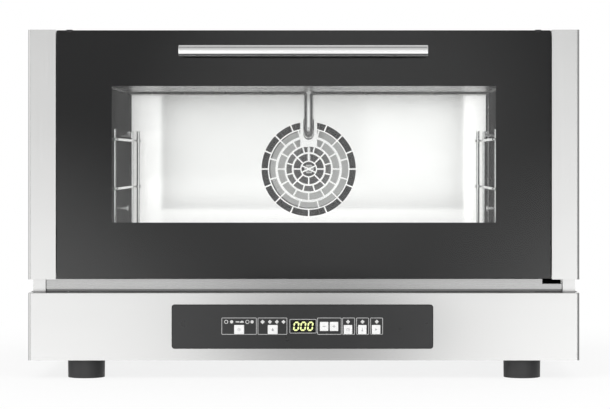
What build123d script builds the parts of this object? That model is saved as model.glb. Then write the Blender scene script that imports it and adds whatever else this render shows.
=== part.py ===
from build123d import *
from math import asin, cos, pi, radians, sin
import os

# Countertop convection oven with a drop-down glass door, in millimetres.
# +X is to the right of someone facing the door, the door faces -Y and +Z is up.
# The origin is on the floor under the middle of the whole oven.

os.makedirs("parts", exist_ok=True)

# Overall size
body_width = 784.0
overall_depth = 754.0
foot_height = 26.0
handle_reach = 50.0
rear_hood_depth = 24.0

# Sheet thicknesses
casing_sheet = 1.0
frame_sheet = 1.5
liner_sheet = 1.2
door_sheet = 1.2
pan_sheet = 1.2

# Clearances
slip_gap = 0.3
pin_gap = 0.05
hole_gap = 0.3

# Front: pillars, recess and fascia
pillar_setback = 2.0
pillar_width = 39.4
pillar_bend = 4.0
fascia_height = 96.0
fascia_return = 75.0
fascia_shelf = 24.0
recess_height = 19.0
recess_inset = 4.2
recess_setback = 28.0
door_side_gap = 1.4
door_bottom_gap = 1.0
door_top_gap = 1.0

# Cavity
mouth_depth = 45.0
cavity_height = 252.0
cavity_rise = 27.0
side_room = 97.0
ceiling_room = 76.0
rear_room = 128.0
fan_chamber_depth = 75.0
cavity_corner = 6.0
insulation_thickness = 35.0
mouth_flange = 14.0
seal_offset = 3.0
seal_width = 10.0
seal_proud = 6.0

# Door
outer_glass_thickness = 5.0
inner_glass_thickness = 4.0
border_thickness = 0.5
window_side_trim = 22.0
window_trim = 57.9
window_centre_rise = 24.8
frame_hole_margin = 12.0
door_frame_inset = 2.8
door_frame_flange = 40.0
inner_glass_margin = 4.0
handle_end_inset = 176.2
handle_diameter = 16.0
handle_drop = 31.0
handle_post_inset = 47.0
handle_post_diameter = 12.0
handle_stud_diameter = 6.0
clip_inset = 18.2
clip_width = 8.0

# Hinges
hinge_setback = 18.0
hinge_rise = 8.0
hinge_pin_radius = 4.0
hinge_eye_radius = 8.5
hinge_plate = 4.0
hinge_arm_length = 78.0
hinge_notch_width = 36.0
hinge_notch_rise = 16.0
spring_wire = 3.2
spring_mean_radius = 6.2
spring_turns = 4.25
spring_pitch = 3.8

# Feet
foot_diameter = 53.0
foot_side_inset = 80.0
foot_front_inset = 34.0
foot_taper = 0.3
foot_edge = 0.6
foot_rear_inset = 60.0
foot_stud_radius = 5.0

# Control panel
overlay_width = 370.0
overlay_height = 61.2
overlay_corner = 3.5
overlay_centre_rise = 48.0
overlay_centre_x = -2.0
overlay_proud = 0.5
overlay_flange = 3.0
overlay_flange_thickness = 1.2
button_travel = 1.2
button_proud = 1.3
button_height = 12.9
button_stem_length = 8.0
display_width = 35.6
display_height = 17.6
display_centre_x = -1.1
display_rise = 0.6
board_setback = 17.0
board_thickness = 1.6

# Fan, heater and baffle
fan_centre_offset = 2.0
baffle_side_gap = 6.5
baffle_top_gap = 2.2
baffle_bottom_gap = 3.0
baffle_sheet = 1.2
baffle_bend = 3.0
fan_wheel_depth = 35.0
fan_wheel_rear_gap = 12.0
fan_blade_span = 29.0
fan_blade_count = 14
shaft_radius = 5.0
heater_wall_room = 14.0
heater_wheel_room = 17.0
heater_tube = 8.0
heater_pitch = 18.0
grille_rib = 2.3
grille_land_width = 27.0
notch_width = 17.0
notch_bottom_rise = 47.3
notch_top_rise = 80.0

# Water tube
tube_radius = 7.0
tube_bore = 5.5
tube_bend = 14.0
tube_standoff = 22.0
tube_level_rise = 56.0
tube_outlet_rise = 14.0
tube_run_clearance = 16.0

# Side racks
rack_wire = 5.0
rail_wire = 4.0
rack_wall_room = 15.8
rail_end_room = 12.0
rack_stop_reach = 10.0
rack_front_y_from_mouth = 67.0
rack_rear_room = 68.4
rack_top_rise = 188.0
rack_bottom_rise = 14.0
rail_pitch = 72.3
rail_bottom_rise = 28.4
rack_stud_radius = 2.5
rack_stud_head_radius = 4.5

# Derived planes and levels
half_width = body_width / 2
inside_x = half_width - casing_sheet
cavity_width = body_width - 2 * side_room
casing_height = fascia_height + recess_height + cavity_rise + cavity_height + ceiling_room
glass_front_y = -overall_depth / 2 + handle_reach
front_y = glass_front_y + pillar_setback
mouth_y = glass_front_y + mouth_depth
rear_y = overall_depth / 2 - rear_hood_depth
rear_inside_y = rear_y - casing_sheet
cavity_rear_y = rear_y - rear_room
baffle_y = cavity_rear_y - fan_chamber_depth
recess_y = glass_front_y + recess_setback
body_top = foot_height + casing_height
fascia_top = foot_height + fascia_height
recess_top = fascia_top + recess_height
pillar_inner_x = half_width - pillar_width
recess_half_width = half_width - recess_inset

cavity_floor = recess_top + cavity_rise
cavity_top = cavity_floor + cavity_height
cavity_half = cavity_width / 2
liner_half = cavity_half + liner_sheet
liner_bottom = cavity_floor - liner_sheet
liner_top = cavity_top + liner_sheet
liner_back_y = cavity_rear_y + liner_sheet
liner_front_y = mouth_y + frame_sheet
insulation_half = liner_half + insulation_thickness
insulation_bottom = liner_bottom - insulation_thickness
insulation_top = liner_top + insulation_thickness
insulation_back_y = liner_back_y + insulation_thickness
fan_z = cavity_floor + cavity_height / 2 + fan_centre_offset
heater_radius = cavity_height / 2 - heater_wall_room
fan_wheel_radius = heater_radius - heater_wheel_room
fan_blade_inner_radius = fan_wheel_radius - fan_blade_span
rack_upright_x = cavity_half - rack_wall_room
rail_end_x = cavity_half - rail_end_room
foot_spread = body_width - 2 * foot_side_inset

door_half = pillar_inner_x - door_side_gap
door_bottom = recess_top + door_bottom_gap
door_top = body_top - door_top_gap
border_front_y = glass_front_y + outer_glass_thickness
door_frame_front_y = border_front_y + border_thickness
inner_glass_back_y = mouth_y - seal_proud - slip_gap
door_frame_back_y = inner_glass_back_y - inner_glass_thickness
door_frame_half = door_half - door_frame_inset
door_frame_bottom = door_bottom + door_frame_inset
door_frame_top = door_top - door_frame_inset
window_z = cavity_floor + cavity_height / 2 + window_centre_rise
hinge_y = glass_front_y + hinge_setback
hinge_z = door_bottom + hinge_rise
handle_z = door_top - handle_drop
handle_length = 2 * (door_half - handle_end_inset)
handle_post_spread = handle_length - 2 * handle_post_inset
clip_spread = 2 * (door_half - clip_inset)
window_width = cavity_width - 2 * window_side_trim
window_height = cavity_height - window_trim
handle_y = -overall_depth / 2 + handle_diameter / 2
hinge_notch_x = door_frame_half - hinge_notch_width
hinge_notch_top = hinge_z + hinge_notch_rise


def front_plane(y):
    """Upright plane that faces the front: sketch X is to the right, sketch Y is up."""
    return Plane(origin=(0, y, 0), x_dir=(1, 0, 0), z_dir=(0, -1, 0))


def side_plane(x):
    """Upright plane that faces right: sketch X is to the rear, sketch Y is up."""
    return Plane(origin=(x, 0, 0), x_dir=(0, 1, 0), z_dir=(1, 0, 0))


def block(x, y, z, mode=Mode.ADD):
    """Box between two X, two Y and two Z values, in the part being built."""
    centre = (sum(x) / 2, sum(y) / 2, sum(z) / 2)
    with Locations(centre):
        Box(abs(x[1] - x[0]), abs(y[1] - y[0]), abs(z[1] - z[0]), mode=mode)


def mirrored_block(x, y, z, mode=Mode.ADD):
    """The same box on the right and on the left."""
    block(x, y, z, mode)
    block((-x[0], -x[1]), y, z, mode)


def rod_y(radius, x, z, y_front, y_rear, mode=Mode.ADD):
    """Round rod or hole along Y."""
    with BuildSketch(front_plane(y_rear)) as section:
        with Locations((x, z)):
            Circle(radius)
    extrude(section.sketch, amount=y_rear - y_front, mode=mode)


def rod_x(radius, y, z, x_left, x_right, mode=Mode.ADD):
    """Round rod or hole along X."""
    with BuildSketch(side_plane(x_left)) as section:
        with Locations((y, z)):
            Circle(radius)
    extrude(section.sketch, amount=x_right - x_left, mode=mode)


def rod_z(radius, x, y, z_bottom, z_top, mode=Mode.ADD):
    """Round rod or hole along Z."""
    with BuildSketch(Plane.XY.offset(z_bottom)) as section:
        with Locations((x, y)):
            Circle(radius)
    extrude(section.sketch, amount=z_top - z_bottom, mode=mode)


def upright_edges_at(part, x, y):
    """The part's vertical edges that stand at one place in plan."""
    return [
        edge
        for edge in part.edges().filter_by(Axis.Z)
        if abs(edge.center().X - x) < 0.05 and abs(edge.center().Y - y) < 0.05
    ]


# Feet
foot_front_y = glass_front_y + foot_front_inset
foot_rear_y = rear_y - foot_rear_inset
foot_places = [(x, y) for x in (-foot_spread / 2, foot_spread / 2) for y in (foot_front_y, foot_rear_y)]
foot_weld_nut_radius = 11.0
foot_weld_nut_height = 8.0

with BuildPart() as feet:
    for foot_x, foot_y in foot_places:
        with Locations((foot_x, foot_y, 0)):
            Cone(
                foot_diameter / 2 - foot_taper,
                foot_diameter / 2,
                foot_height,
                align=(Align.CENTER, Align.CENTER, Align.MIN),
            )
        rod_z(foot_stud_radius, foot_x, foot_y, foot_height, foot_height + pan_sheet + foot_weld_nut_height)
    fillet(feet.edges().filter_by(GeomType.CIRCLE).group_by(Axis.Z)[0], foot_edge)

# Base pan: bottom tray with air slots and a welded nut over each foot
pan_top = foot_height + pan_sheet
pan_lip = 14.0
pan_front_y = front_y + casing_sheet
pan_rear_y = rear_inside_y - casing_sheet
inner_bend = pillar_bend - casing_sheet
air_slot_length = 60.0
air_slot_width = 5.0
air_slot_gap = 20.0
air_slot_row_gap = 9.0
air_slot_columns = 4
air_slot_rows = 7
air_slot_y = rear_inside_y - 130.0

with BuildPart() as base_pan:
    block((-inside_x, inside_x), (pan_front_y, pan_rear_y), (foot_height, pan_top))
    mirrored_block(
        (inside_x - pan_sheet, inside_x),
        (pan_front_y + inner_bend, pan_rear_y),
        (pan_top, pan_top + pan_lip),
    )
    for side in (-1, 1):
        fillet(upright_edges_at(base_pan, side * inside_x, pan_front_y), inner_bend)
    for foot_x, foot_y in foot_places:
        rod_z(foot_weld_nut_radius, foot_x, foot_y, pan_top, pan_top + foot_weld_nut_height)
        rod_z(
            foot_stud_radius + pin_gap,
            foot_x,
            foot_y,
            foot_height,
            pan_top + foot_weld_nut_height,
            Mode.SUBTRACT,
        )
    with BuildSketch(Plane.XY.offset(foot_height)):
        with Locations((0, air_slot_y)):
            with GridLocations(
                air_slot_length + air_slot_gap,
                air_slot_width + air_slot_row_gap,
                air_slot_columns,
                air_slot_rows,
            ):
                SlotOverall(air_slot_length, air_slot_width)
    extrude(amount=pan_sheet, mode=Mode.SUBTRACT)

# Side panels: flat side, rounded front bend, pillar face, inner return and rear flange
side_flange = 15.0
side_slot_rows = 9
side_slot_pitch = 10.0
side_slot_length = 70.0
side_slot_height = 4.0
side_slot_gap = 20.0
side_slot_columns = 2
side_slot_z = foot_height + 62.0
side_slot_y = rear_y - 130.0
side_screw_inset = 7.5
rear_screw_radius = 2.0
rear_screw_levels = [foot_height + 34.0, recess_top + 40.0, cavity_top - 40.0, body_top - 36.0]
rear_screw_places = [
    (side * (inside_x - side_screw_inset), level) for side in (-1, 1) for level in rear_screw_levels
]

with BuildPart() as side_panel_right:
    with BuildSketch(Plane.XY.offset(foot_height)):
        with BuildLine():
            Polyline(
                (half_width, rear_y),
                (half_width, front_y),
                (pillar_inner_x, front_y),
                (pillar_inner_x, mouth_y),
                (pillar_inner_x + casing_sheet, mouth_y),
                (pillar_inner_x + casing_sheet, front_y + casing_sheet),
                (inside_x, front_y + casing_sheet),
                (inside_x, rear_inside_y - casing_sheet),
                (inside_x - side_flange, rear_inside_y - casing_sheet),
                (inside_x - side_flange, rear_inside_y),
                (inside_x, rear_inside_y),
                (inside_x, rear_y),
                close=True,
            )
        make_face()
    extrude(amount=casing_height)
    fillet(upright_edges_at(side_panel_right, inside_x, front_y + casing_sheet), inner_bend)
    fillet(upright_edges_at(side_panel_right, half_width, front_y), pillar_bend)
    block(
        (pillar_inner_x - 1.0, half_width + 1.0),
        (front_y - 1.0, front_y + fascia_return + 1.0),
        (foot_height, recess_top),
        Mode.SUBTRACT,
    )
    block(
        (inside_x - side_flange, inside_x),
        (rear_inside_y - casing_sheet, rear_inside_y),
        (body_top - casing_sheet, body_top),
        Mode.SUBTRACT,
    )
    with BuildSketch(side_plane(inside_x)):
        with Locations((side_slot_y, side_slot_z)):
            with GridLocations(
                side_slot_length + side_slot_gap,
                side_slot_pitch,
                side_slot_columns,
                side_slot_rows,
            ):
                SlotOverall(side_slot_length, side_slot_height)
    extrude(amount=casing_sheet, mode=Mode.SUBTRACT)
    for level in rear_screw_levels:
        rod_y(
            rear_screw_radius + pin_gap,
            inside_x - side_screw_inset,
            level,
            rear_inside_y - casing_sheet,
            rear_inside_y,
            Mode.SUBTRACT,
        )

with BuildPart() as side_panel_left:
    add(mirror(side_panel_right.part, about=Plane.YZ, mode=Mode.PRIVATE))

# Top panel: sheet behind the door with a tab over each pillar
with BuildPart() as top_panel:
    block((-inside_x, inside_x), (mouth_y, rear_y), (body_top - casing_sheet, body_top))
    tab_x = (pillar_inner_x + casing_sheet, inside_x)
    mirrored_block(tab_x, (front_y + casing_sheet, mouth_y), (body_top - casing_sheet, body_top))
    for side in (-1, 1):
        fillet(upright_edges_at(top_panel, side * inside_x, front_y + casing_sheet), inner_bend)

# Openings in the rear, shared by the rear panel and the parts that pass through it
vent_x = cavity_half - 95.0
vent_z = cavity_top - 25.0
vent_radius = 15.0
vent_bore = 13.5
vent_stub = 18.0
vent_flange_radius = 20.0
vent_flange_sheet = 2.0
water_inlet_radius = 13.1
water_inlet_bore = 8.0
water_inlet_stub = 19.0
inlet_shoulder_radius = 14.5
inlet_shoulder_proud = 1.0
tube_run_z = insulation_top + tube_run_clearance
gland_x = half_width - 132.0
gland_z = foot_height + 38.0
gland_thread_radius = 10.0
gland_bore = 6.5
cooling_fan_x = 132.0 - half_width
cooling_fan_size = 80.0
cooling_fan_depth = 25.0
cooling_fan_z = foot_height + 57.0
cooling_fan_bore = 38.0
grille_hole_radius = 3.2
grille_hole_ring = 9.0
hood_width = 330.0
hood_height = 210.0
hood_flange = 12.0
hood_corner = 10.0
hood_flange_corner = 6.0
hood_seat = 12.0
hood_z = fan_z
hood_screw_places = [(x, z) for x in (-1, 1) for z in (-1, 1)]
hood_screw_x = hood_width / 2 + hood_flange / 2
hood_screw_z = hood_height / 2 - 15.0

with BuildPart() as rear_panel:
    block((-inside_x, inside_x), (rear_inside_y, rear_y), (foot_height, body_top - casing_sheet))
    block(
        (-hood_width / 2 + hood_seat, hood_width / 2 - hood_seat),
        (rear_inside_y, rear_y),
        (hood_z - hood_height / 2 + hood_seat, hood_z + hood_height / 2 - hood_seat),
        Mode.SUBTRACT,
    )
    rod_y(vent_radius + hole_gap, vent_x, vent_z, rear_inside_y, rear_y, Mode.SUBTRACT)
    rod_y(inlet_shoulder_radius + hole_gap, 0, tube_run_z, rear_inside_y, rear_y, Mode.SUBTRACT)
    rod_y(gland_thread_radius + hole_gap, gland_x, gland_z, rear_inside_y, rear_y, Mode.SUBTRACT)
    for screw_x, screw_z in rear_screw_places:
        rod_y(rear_screw_radius + pin_gap, screw_x, screw_z, rear_inside_y, rear_y, Mode.SUBTRACT)
    for x_side, z_side in hood_screw_places:
        rod_y(
            rear_screw_radius + pin_gap,
            x_side * hood_screw_x,
            hood_z + z_side * hood_screw_z,
            rear_inside_y,
            rear_y,
            Mode.SUBTRACT,
        )
    with BuildSketch(front_plane(rear_y)):
        with Locations((cooling_fan_x, cooling_fan_z)):
            Circle(grille_hole_radius)
            for ring in (1, 2, 3):
                with PolarLocations(ring * grille_hole_ring, ring * 6):
                    Circle(grille_hole_radius)
    extrude(amount=casing_sheet, mode=Mode.SUBTRACT)

# Rear hood: shallow louvred box over the motor opening
hood_slot_count = 9
hood_slot_pitch = 18.0
hood_slot_length = 250.0
hood_slot_height = 6.0
hood_back_y = overall_depth / 2

with BuildPart() as rear_hood:
    with BuildSketch(front_plane(hood_back_y)):
        with Locations((0, hood_z)):
            RectangleRounded(hood_width, hood_height, hood_corner)
    extrude(amount=hood_back_y - rear_y)
    with BuildSketch(front_plane(rear_y + casing_sheet)):
        with Locations((0, hood_z)):
            RectangleRounded(hood_width + 2 * hood_flange, hood_height, hood_flange_corner)
    extrude(amount=casing_sheet)
    with BuildSketch(front_plane(hood_back_y - casing_sheet)):
        with Locations((0, hood_z)):
            RectangleRounded(
                hood_width - 2 * casing_sheet,
                hood_height - 2 * casing_sheet,
                hood_corner - casing_sheet,
            )
    extrude(amount=hood_back_y - casing_sheet - rear_y, mode=Mode.SUBTRACT)
    with BuildSketch(front_plane(hood_back_y)):
        with Locations((0, hood_z)):
            with GridLocations(1.0, hood_slot_pitch, 1, hood_slot_count):
                SlotOverall(hood_slot_length, hood_slot_height)
    extrude(amount=casing_sheet, mode=Mode.SUBTRACT)
    for x_side, z_side in hood_screw_places:
        rod_y(
            rear_screw_radius + pin_gap,
            x_side * hood_screw_x,
            hood_z + z_side * hood_screw_z,
            rear_y,
            rear_y + casing_sheet,
            Mode.SUBTRACT,
        )

# Casing screws: domed heads on the rear panel and on the hood's flange
screw_head_radius = 4.0
screw_head_height = 2.4
screw_shank_length = 7.0
screw_clearance = 2.0

with BuildPart() as casing_screws:
    for screw_x, screw_z in rear_screw_places:
        rod_y(screw_head_radius, screw_x, screw_z, rear_y, rear_y + screw_head_height)
        rod_y(rear_screw_radius, screw_x, screw_z, rear_y - screw_shank_length, rear_y)
    for x_side, z_side in hood_screw_places:
        screw_x = x_side * hood_screw_x
        screw_z = hood_z + z_side * hood_screw_z
        head_y = rear_y + casing_sheet
        rod_y(screw_head_radius, screw_x, screw_z, head_y, head_y + screw_head_height)
        rod_y(rear_screw_radius, screw_x, screw_z, head_y - screw_shank_length, head_y)
    fillet(casing_screws.edges().filter_by(GeomType.CIRCLE).group_by(Axis.Y)[-1], 1.0)

# Inner chassis: shelf under the hot part, with a leg down each side to the base pan
chassis_leg_gap = 0.6
chassis_leg_x = recess_half_width - chassis_leg_gap
chassis_y = (liner_front_y, rear_y - screw_shank_length - screw_clearance)
chassis_sheet = 1.2
chassis_window_margin = 4.0

with BuildPart() as inner_chassis:
    block(
        (-chassis_leg_x, chassis_leg_x),
        chassis_y,
        (insulation_bottom - chassis_sheet, insulation_bottom),
    )
    mirrored_block(
        (chassis_leg_x - chassis_sheet, chassis_leg_x),
        chassis_y,
        (pan_top, insulation_bottom - chassis_sheet),
    )
    for side in (-1, 1):
        with BuildSketch(side_plane(side * (chassis_leg_x - chassis_sheet / 2))):
            with Locations((side_slot_y, side_slot_z)):
                Rectangle(
                    side_slot_columns * (side_slot_length + side_slot_gap),
                    (side_slot_rows - 1) * side_slot_pitch - side_slot_height - chassis_window_margin,
                )
        extrude(amount=chassis_sheet, both=True, mode=Mode.SUBTRACT)

# Front frame: plate round the cavity mouth with two recessed end pieces under the pillars
frame_plate_top = body_top - casing_sheet
frame_plate_bottom = fascia_top + 6.0
end_piece_gap = 1.2
gutter_end_x = pillar_inner_x + 16.2
end_piece_x = gutter_end_x + end_piece_gap
gutter_top = recess_top - 0.5
hinge_slot_length = 28.0
hinge_slot_height = 7.2
hinge_slot_x = (gutter_end_x - hinge_slot_length, gutter_end_x)
hinge_slot_z = (gutter_top - hinge_slot_height, gutter_top)

with BuildPart() as front_frame:
    block(
        (-recess_half_width, recess_half_width),
        (mouth_y, liner_front_y),
        (frame_plate_bottom, frame_plate_top),
    )
    block(
        (-cavity_half, cavity_half),
        (mouth_y, liner_front_y),
        (cavity_floor, cavity_top),
        Mode.SUBTRACT,
    )
    block(hinge_slot_x, (mouth_y, liner_front_y), hinge_slot_z, Mode.SUBTRACT)
    end_z = (fascia_top + slip_gap, recess_top - slip_gap)
    mirrored_block((end_piece_x, recess_half_width), (recess_y, recess_y + frame_sheet), end_z)
    mirrored_block((recess_half_width - frame_sheet, recess_half_width), (recess_y, liner_front_y), end_z)
    mirrored_block((end_piece_x, end_piece_x + frame_sheet), (recess_y, liner_front_y), end_z)

# Drip gutter: open trough between the end pieces, with a hinge slot cut in its right end
gutter_sheet = 1.0
gutter_bottom = fascia_top + 4.0
gutter_skirt_setback = 3.5
gutter_skirt_y = recess_y + gutter_skirt_setback

with BuildPart() as drip_gutter:
    block((-gutter_end_x, gutter_end_x), (recess_y, mouth_y), (gutter_bottom, gutter_top))
    block(
        (-gutter_end_x + gutter_sheet, gutter_end_x - gutter_sheet),
        (recess_y + gutter_sheet, mouth_y - gutter_sheet),
        (gutter_bottom + gutter_sheet, gutter_top),
        Mode.SUBTRACT,
    )
    block(hinge_slot_x, (recess_y, mouth_y), hinge_slot_z, Mode.SUBTRACT)
    block(
        (-gutter_end_x, gutter_end_x),
        (gutter_skirt_y, gutter_skirt_y + gutter_sheet),
        (fascia_top + slip_gap, gutter_bottom),
    )

# Control fascia: folded front with side returns and a shelf behind its top edge
overlay_z = foot_height + overlay_centre_rise
fascia_edge = 0.8
fascia_rim = 0.6
fascia_back_y = front_y + casing_sheet
shelf_back_y = front_y + fascia_shelf

with BuildPart() as control_fascia:
    with BuildSketch(Plane.XY.offset(foot_height)):
        with BuildLine():
            Polyline(
                (-half_width, front_y + fascia_return),
                (-half_width, front_y),
                (half_width, front_y),
                (half_width, front_y + fascia_return),
                (inside_x, front_y + fascia_return),
                (inside_x, fascia_back_y),
                (-inside_x, fascia_back_y),
                (-inside_x, front_y + fascia_return),
                close=True,
            )
        make_face()
    extrude(amount=fascia_height)
    for side in (-1, 1):
        fillet(upright_edges_at(control_fascia, side * inside_x, fascia_back_y), inner_bend)
        fillet(upright_edges_at(control_fascia, side * half_width, front_y), pillar_bend)
    with BuildSketch(Plane.XY.offset(fascia_top - casing_sheet)) as shelf_outline:
        with Locations((0, (fascia_back_y + shelf_back_y) / 2)):
            Rectangle(2 * inside_x, shelf_back_y - fascia_back_y)
        fillet(shelf_outline.vertices().group_by(Axis.Y)[0], inner_bend)
    extrude(amount=casing_sheet)
    top_edges = control_fascia.edges().group_by(Axis.Z)[-1]
    front_edges = [edge for edge in top_edges if edge.center().Y < front_y + pillar_bend / 2]
    side_edges = [edge for edge in top_edges if abs(edge.center().X) > half_width - fascia_edge / 2]
    fillet(front_edges + side_edges, fascia_edge)
    with BuildSketch(front_plane(fascia_back_y)):
        with Locations((overlay_centre_x, overlay_z)):
            RectangleRounded(
                overlay_width + 2 * hole_gap,
                overlay_height + 2 * hole_gap,
                overlay_corner + hole_gap,
            )
    extrude(amount=casing_sheet, mode=Mode.SUBTRACT)
    rim_reach = overlay_height / 2 + fascia_rim
    rim_edges = [
        edge
        for edge in control_fascia.edges().group_by(Axis.Y)[0]
        if abs(edge.center().Z - overlay_z) < rim_reach
        and abs(edge.center().X) < overlay_width
    ]
    chamfer(rim_edges, fascia_rim)

# Push buttons: name, centre, width and rise from the overlay's middle
button_layout = [
    ("mode_button", -91.9, 14.0, -4.1),
    ("humidity_button", -44.2, 14.0, -4.1),
    ("minus_button", 28.8, 12.0, 0.3),
    ("plus_button", 42.9, 12.0, 0.3),
    ("time_button", 62.8, 12.0, -4.1),
    ("temperature_button", 83.0, 12.0, -4.1),
    ("start_button", 102.7, 12.0, -4.1),
]
overlay_front_y = front_y - overlay_proud
overlay_back_y = fascia_back_y + overlay_flange_thickness
overlay_edge = 0.3
button_corner = 0.8
button_edge = 0.4
display_z = overlay_z + display_rise

with BuildPart() as control_overlay:
    with BuildSketch(front_plane(fascia_back_y)):
        with Locations((overlay_centre_x, overlay_z)):
            RectangleRounded(overlay_width, overlay_height, overlay_corner)
    extrude(amount=fascia_back_y - overlay_front_y)
    with BuildSketch(front_plane(overlay_back_y)):
        with Locations((overlay_centre_x, overlay_z)):
            RectangleRounded(
                overlay_width + 2 * overlay_flange,
                overlay_height + 2 * overlay_flange,
                overlay_corner + overlay_flange,
            )
    extrude(amount=overlay_flange_thickness)
    chamfer(control_overlay.edges().group_by(Axis.Y)[0], overlay_edge)
    with BuildSketch(front_plane(overlay_back_y)):
        for button_name, button_x, button_width, button_rise in button_layout:
            with Locations((button_x, overlay_z + button_rise)):
                RectangleRounded(
                    button_width + 2 * slip_gap,
                    button_height + 2 * slip_gap,
                    button_corner + slip_gap,
                )
        with Locations((display_centre_x, display_z)):
            Rectangle(display_width + 2 * pin_gap, display_height + 2 * pin_gap)
    extrude(amount=overlay_back_y - overlay_front_y, mode=Mode.SUBTRACT)

button_lip = 1.4
button_lip_thickness = 1.4
button_lip_front_y = overlay_back_y + slip_gap
button_lip_back_y = button_lip_front_y + button_lip_thickness
button_stem_radius = 2.5
buttons = {}
for button_name, button_x, button_width, button_rise in button_layout:
    button_z = overlay_z + button_rise
    with BuildPart() as button:
        with BuildSketch(front_plane(button_lip_front_y)):
            with Locations((button_x, button_z)):
                RectangleRounded(button_width, button_height, button_corner)
        extrude(amount=button_lip_front_y - (overlay_front_y - button_proud))
        fillet(button.faces().sort_by(Axis.Y)[0].edges(), button_edge)
        with BuildSketch(front_plane(button_lip_back_y)):
            with Locations((button_x, button_z)):
                Rectangle(button_width + 2 * slip_gap + button_lip / 2, button_height + 2 * button_lip)
        extrude(amount=button_lip_thickness)
        rod_y(
            button_stem_radius,
            button_x,
            button_z,
            button_lip_back_y,
            button_lip_back_y + button_stem_length,
        )
    buttons[button_name] = button

# Display lens, flush in the overlay, and the digit module behind it
board_y = front_y + board_setback
module_margin = 0.8

with BuildPart() as display_lens:
    with BuildSketch(front_plane(overlay_back_y)):
        with Locations((display_centre_x, display_z)):
            Rectangle(display_width, display_height)
    extrude(amount=overlay_back_y - overlay_front_y)

with BuildPart() as display_module:
    with BuildSketch(front_plane(board_y)):
        with Locations((display_centre_x, display_z)):
            Rectangle(display_width - 2 * module_margin, display_height - 2 * module_margin)
    extrude(amount=board_y - overlay_back_y - slip_gap)

# Control board: circuit board with a switch behind each button and four standoffs
board_width = 404.0
board_height = 76.0
standoff_radius = 3.5
switch_size = 6.0
chip_places = (-150.0, -20.0, 60.0, 140.0)
chip_size = 18.0
chip_height = 3.4
switch_front_y = button_lip_back_y + button_stem_length + button_travel + slip_gap

with BuildPart() as control_board:
    board_z = (overlay_z - board_height / 2, overlay_z + board_height / 2)
    block((-board_width / 2, board_width / 2), (board_y, board_y + board_thickness), board_z)
    for button_name, button_x, button_width, button_rise in button_layout:
        button_z = overlay_z + button_rise
        block(
            (button_x - switch_size / 2, button_x + switch_size / 2),
            (switch_front_y, board_y),
            (button_z - switch_size / 2, button_z + switch_size / 2),
        )
    for side in (-1, 1):
        for level in (-1, 1):
            standoff_x = side * (board_width / 2 - standoff_radius - 1.0)
            standoff_z = overlay_z + level * (board_height / 2 - standoff_radius - 1.0)
            rod_y(standoff_radius, standoff_x, standoff_z, fascia_back_y, board_y)
    for chip_x in chip_places:
        block(
            (chip_x - chip_size / 2, chip_x + chip_size / 2),
            (board_y + board_thickness, board_y + board_thickness + chip_height),
            (overlay_z - chip_size / 2, overlay_z + chip_size / 2),
        )

# Cavity liner: welded box, open at the front, with its mouth flange
boss_radius = 6.0
boss_x = cavity_half - 33.0
boss_bottom_z = cavity_floor + 17.0
boss_top_z = cavity_top - 17.0
baffle_screw_radius = 2.5
baffle_screw_length = 14.0
baffle_screw_hole = 16.0
lamp_y = mouth_y + 202.0
lamp_z = cavity_floor + 162.0
lamp_radius = 27.0
probe_x = -150.0
probe_z = cavity_top - 35.0
probe_radius = 3.0
heater_end_x = 14.0
heater_end_drop = 9.0
heater_end_angle = asin(heater_end_x / heater_radius)
heater_loop_z = fan_z - heater_radius * cos(heater_end_angle)
heater_low_z = heater_loop_z - heater_end_drop
wall_shaft_hole = shaft_radius + 2.0

with BuildPart() as cavity_liner:
    block((-liner_half, liner_half), (liner_front_y, liner_back_y), (liner_bottom, liner_top))
    with BuildSketch(front_plane(cavity_rear_y)):
        with Locations((0, (cavity_floor + cavity_top) / 2)):
            RectangleRounded(cavity_width, cavity_height, cavity_corner)
    extrude(amount=cavity_rear_y - liner_front_y, mode=Mode.SUBTRACT)
    with BuildSketch(front_plane(liner_front_y + liner_sheet)):
        with Locations((0, (cavity_floor + cavity_top) / 2)):
            Rectangle(cavity_width + 2 * mouth_flange, cavity_height + 2 * mouth_flange)
            RectangleRounded(cavity_width, cavity_height, cavity_corner, mode=Mode.SUBTRACT)
    extrude(amount=liner_sheet)
    rod_y(wall_shaft_hole, 0, fan_z, cavity_rear_y, liner_back_y, Mode.SUBTRACT)
    rod_y(vent_bore, vent_x, vent_z, cavity_rear_y, liner_back_y, Mode.SUBTRACT)
    rod_y(probe_radius + pin_gap, probe_x, probe_z, cavity_rear_y, liner_back_y, Mode.SUBTRACT)
    rod_y(heater_tube / 2 + pin_gap, -heater_end_x, heater_low_z, cavity_rear_y, liner_back_y, Mode.SUBTRACT)
    rod_y(heater_tube / 2 + pin_gap, heater_end_x, heater_loop_z, cavity_rear_y, liner_back_y, Mode.SUBTRACT)
    rod_x(lamp_radius + pin_gap, lamp_y, lamp_z, cavity_half, liner_half, Mode.SUBTRACT)
    tube_y = baffle_y - tube_standoff
    rod_z(tube_radius + pin_gap, 0, tube_y, cavity_top, liner_top, Mode.SUBTRACT)

# Cavity seal: silicone ring that the closed door presses on
seal_inner_w = cavity_width + 2 * seal_offset
seal_inner_h = cavity_height + 2 * seal_offset
seal_corner = 3.0
seal_round = 2.5

with BuildPart() as cavity_seal:
    with BuildSketch(front_plane(mouth_y)):
        with Locations((0, (cavity_floor + cavity_top) / 2)):
            RectangleRounded(
                seal_inner_w + 2 * seal_width,
                seal_inner_h + 2 * seal_width,
                seal_width + seal_corner,
            )
            RectangleRounded(seal_inner_w, seal_inner_h, seal_corner, mode=Mode.SUBTRACT)
    extrude(amount=seal_proud)
    fillet(cavity_seal.faces().sort_by(Axis.Y)[0].edges(), seal_round)

# Insulation: jacket round the cavity and over its back
motor_stud_spread = 140.0
motor_stud_radius = 5.0
shaft_tunnel = 14.0

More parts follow.
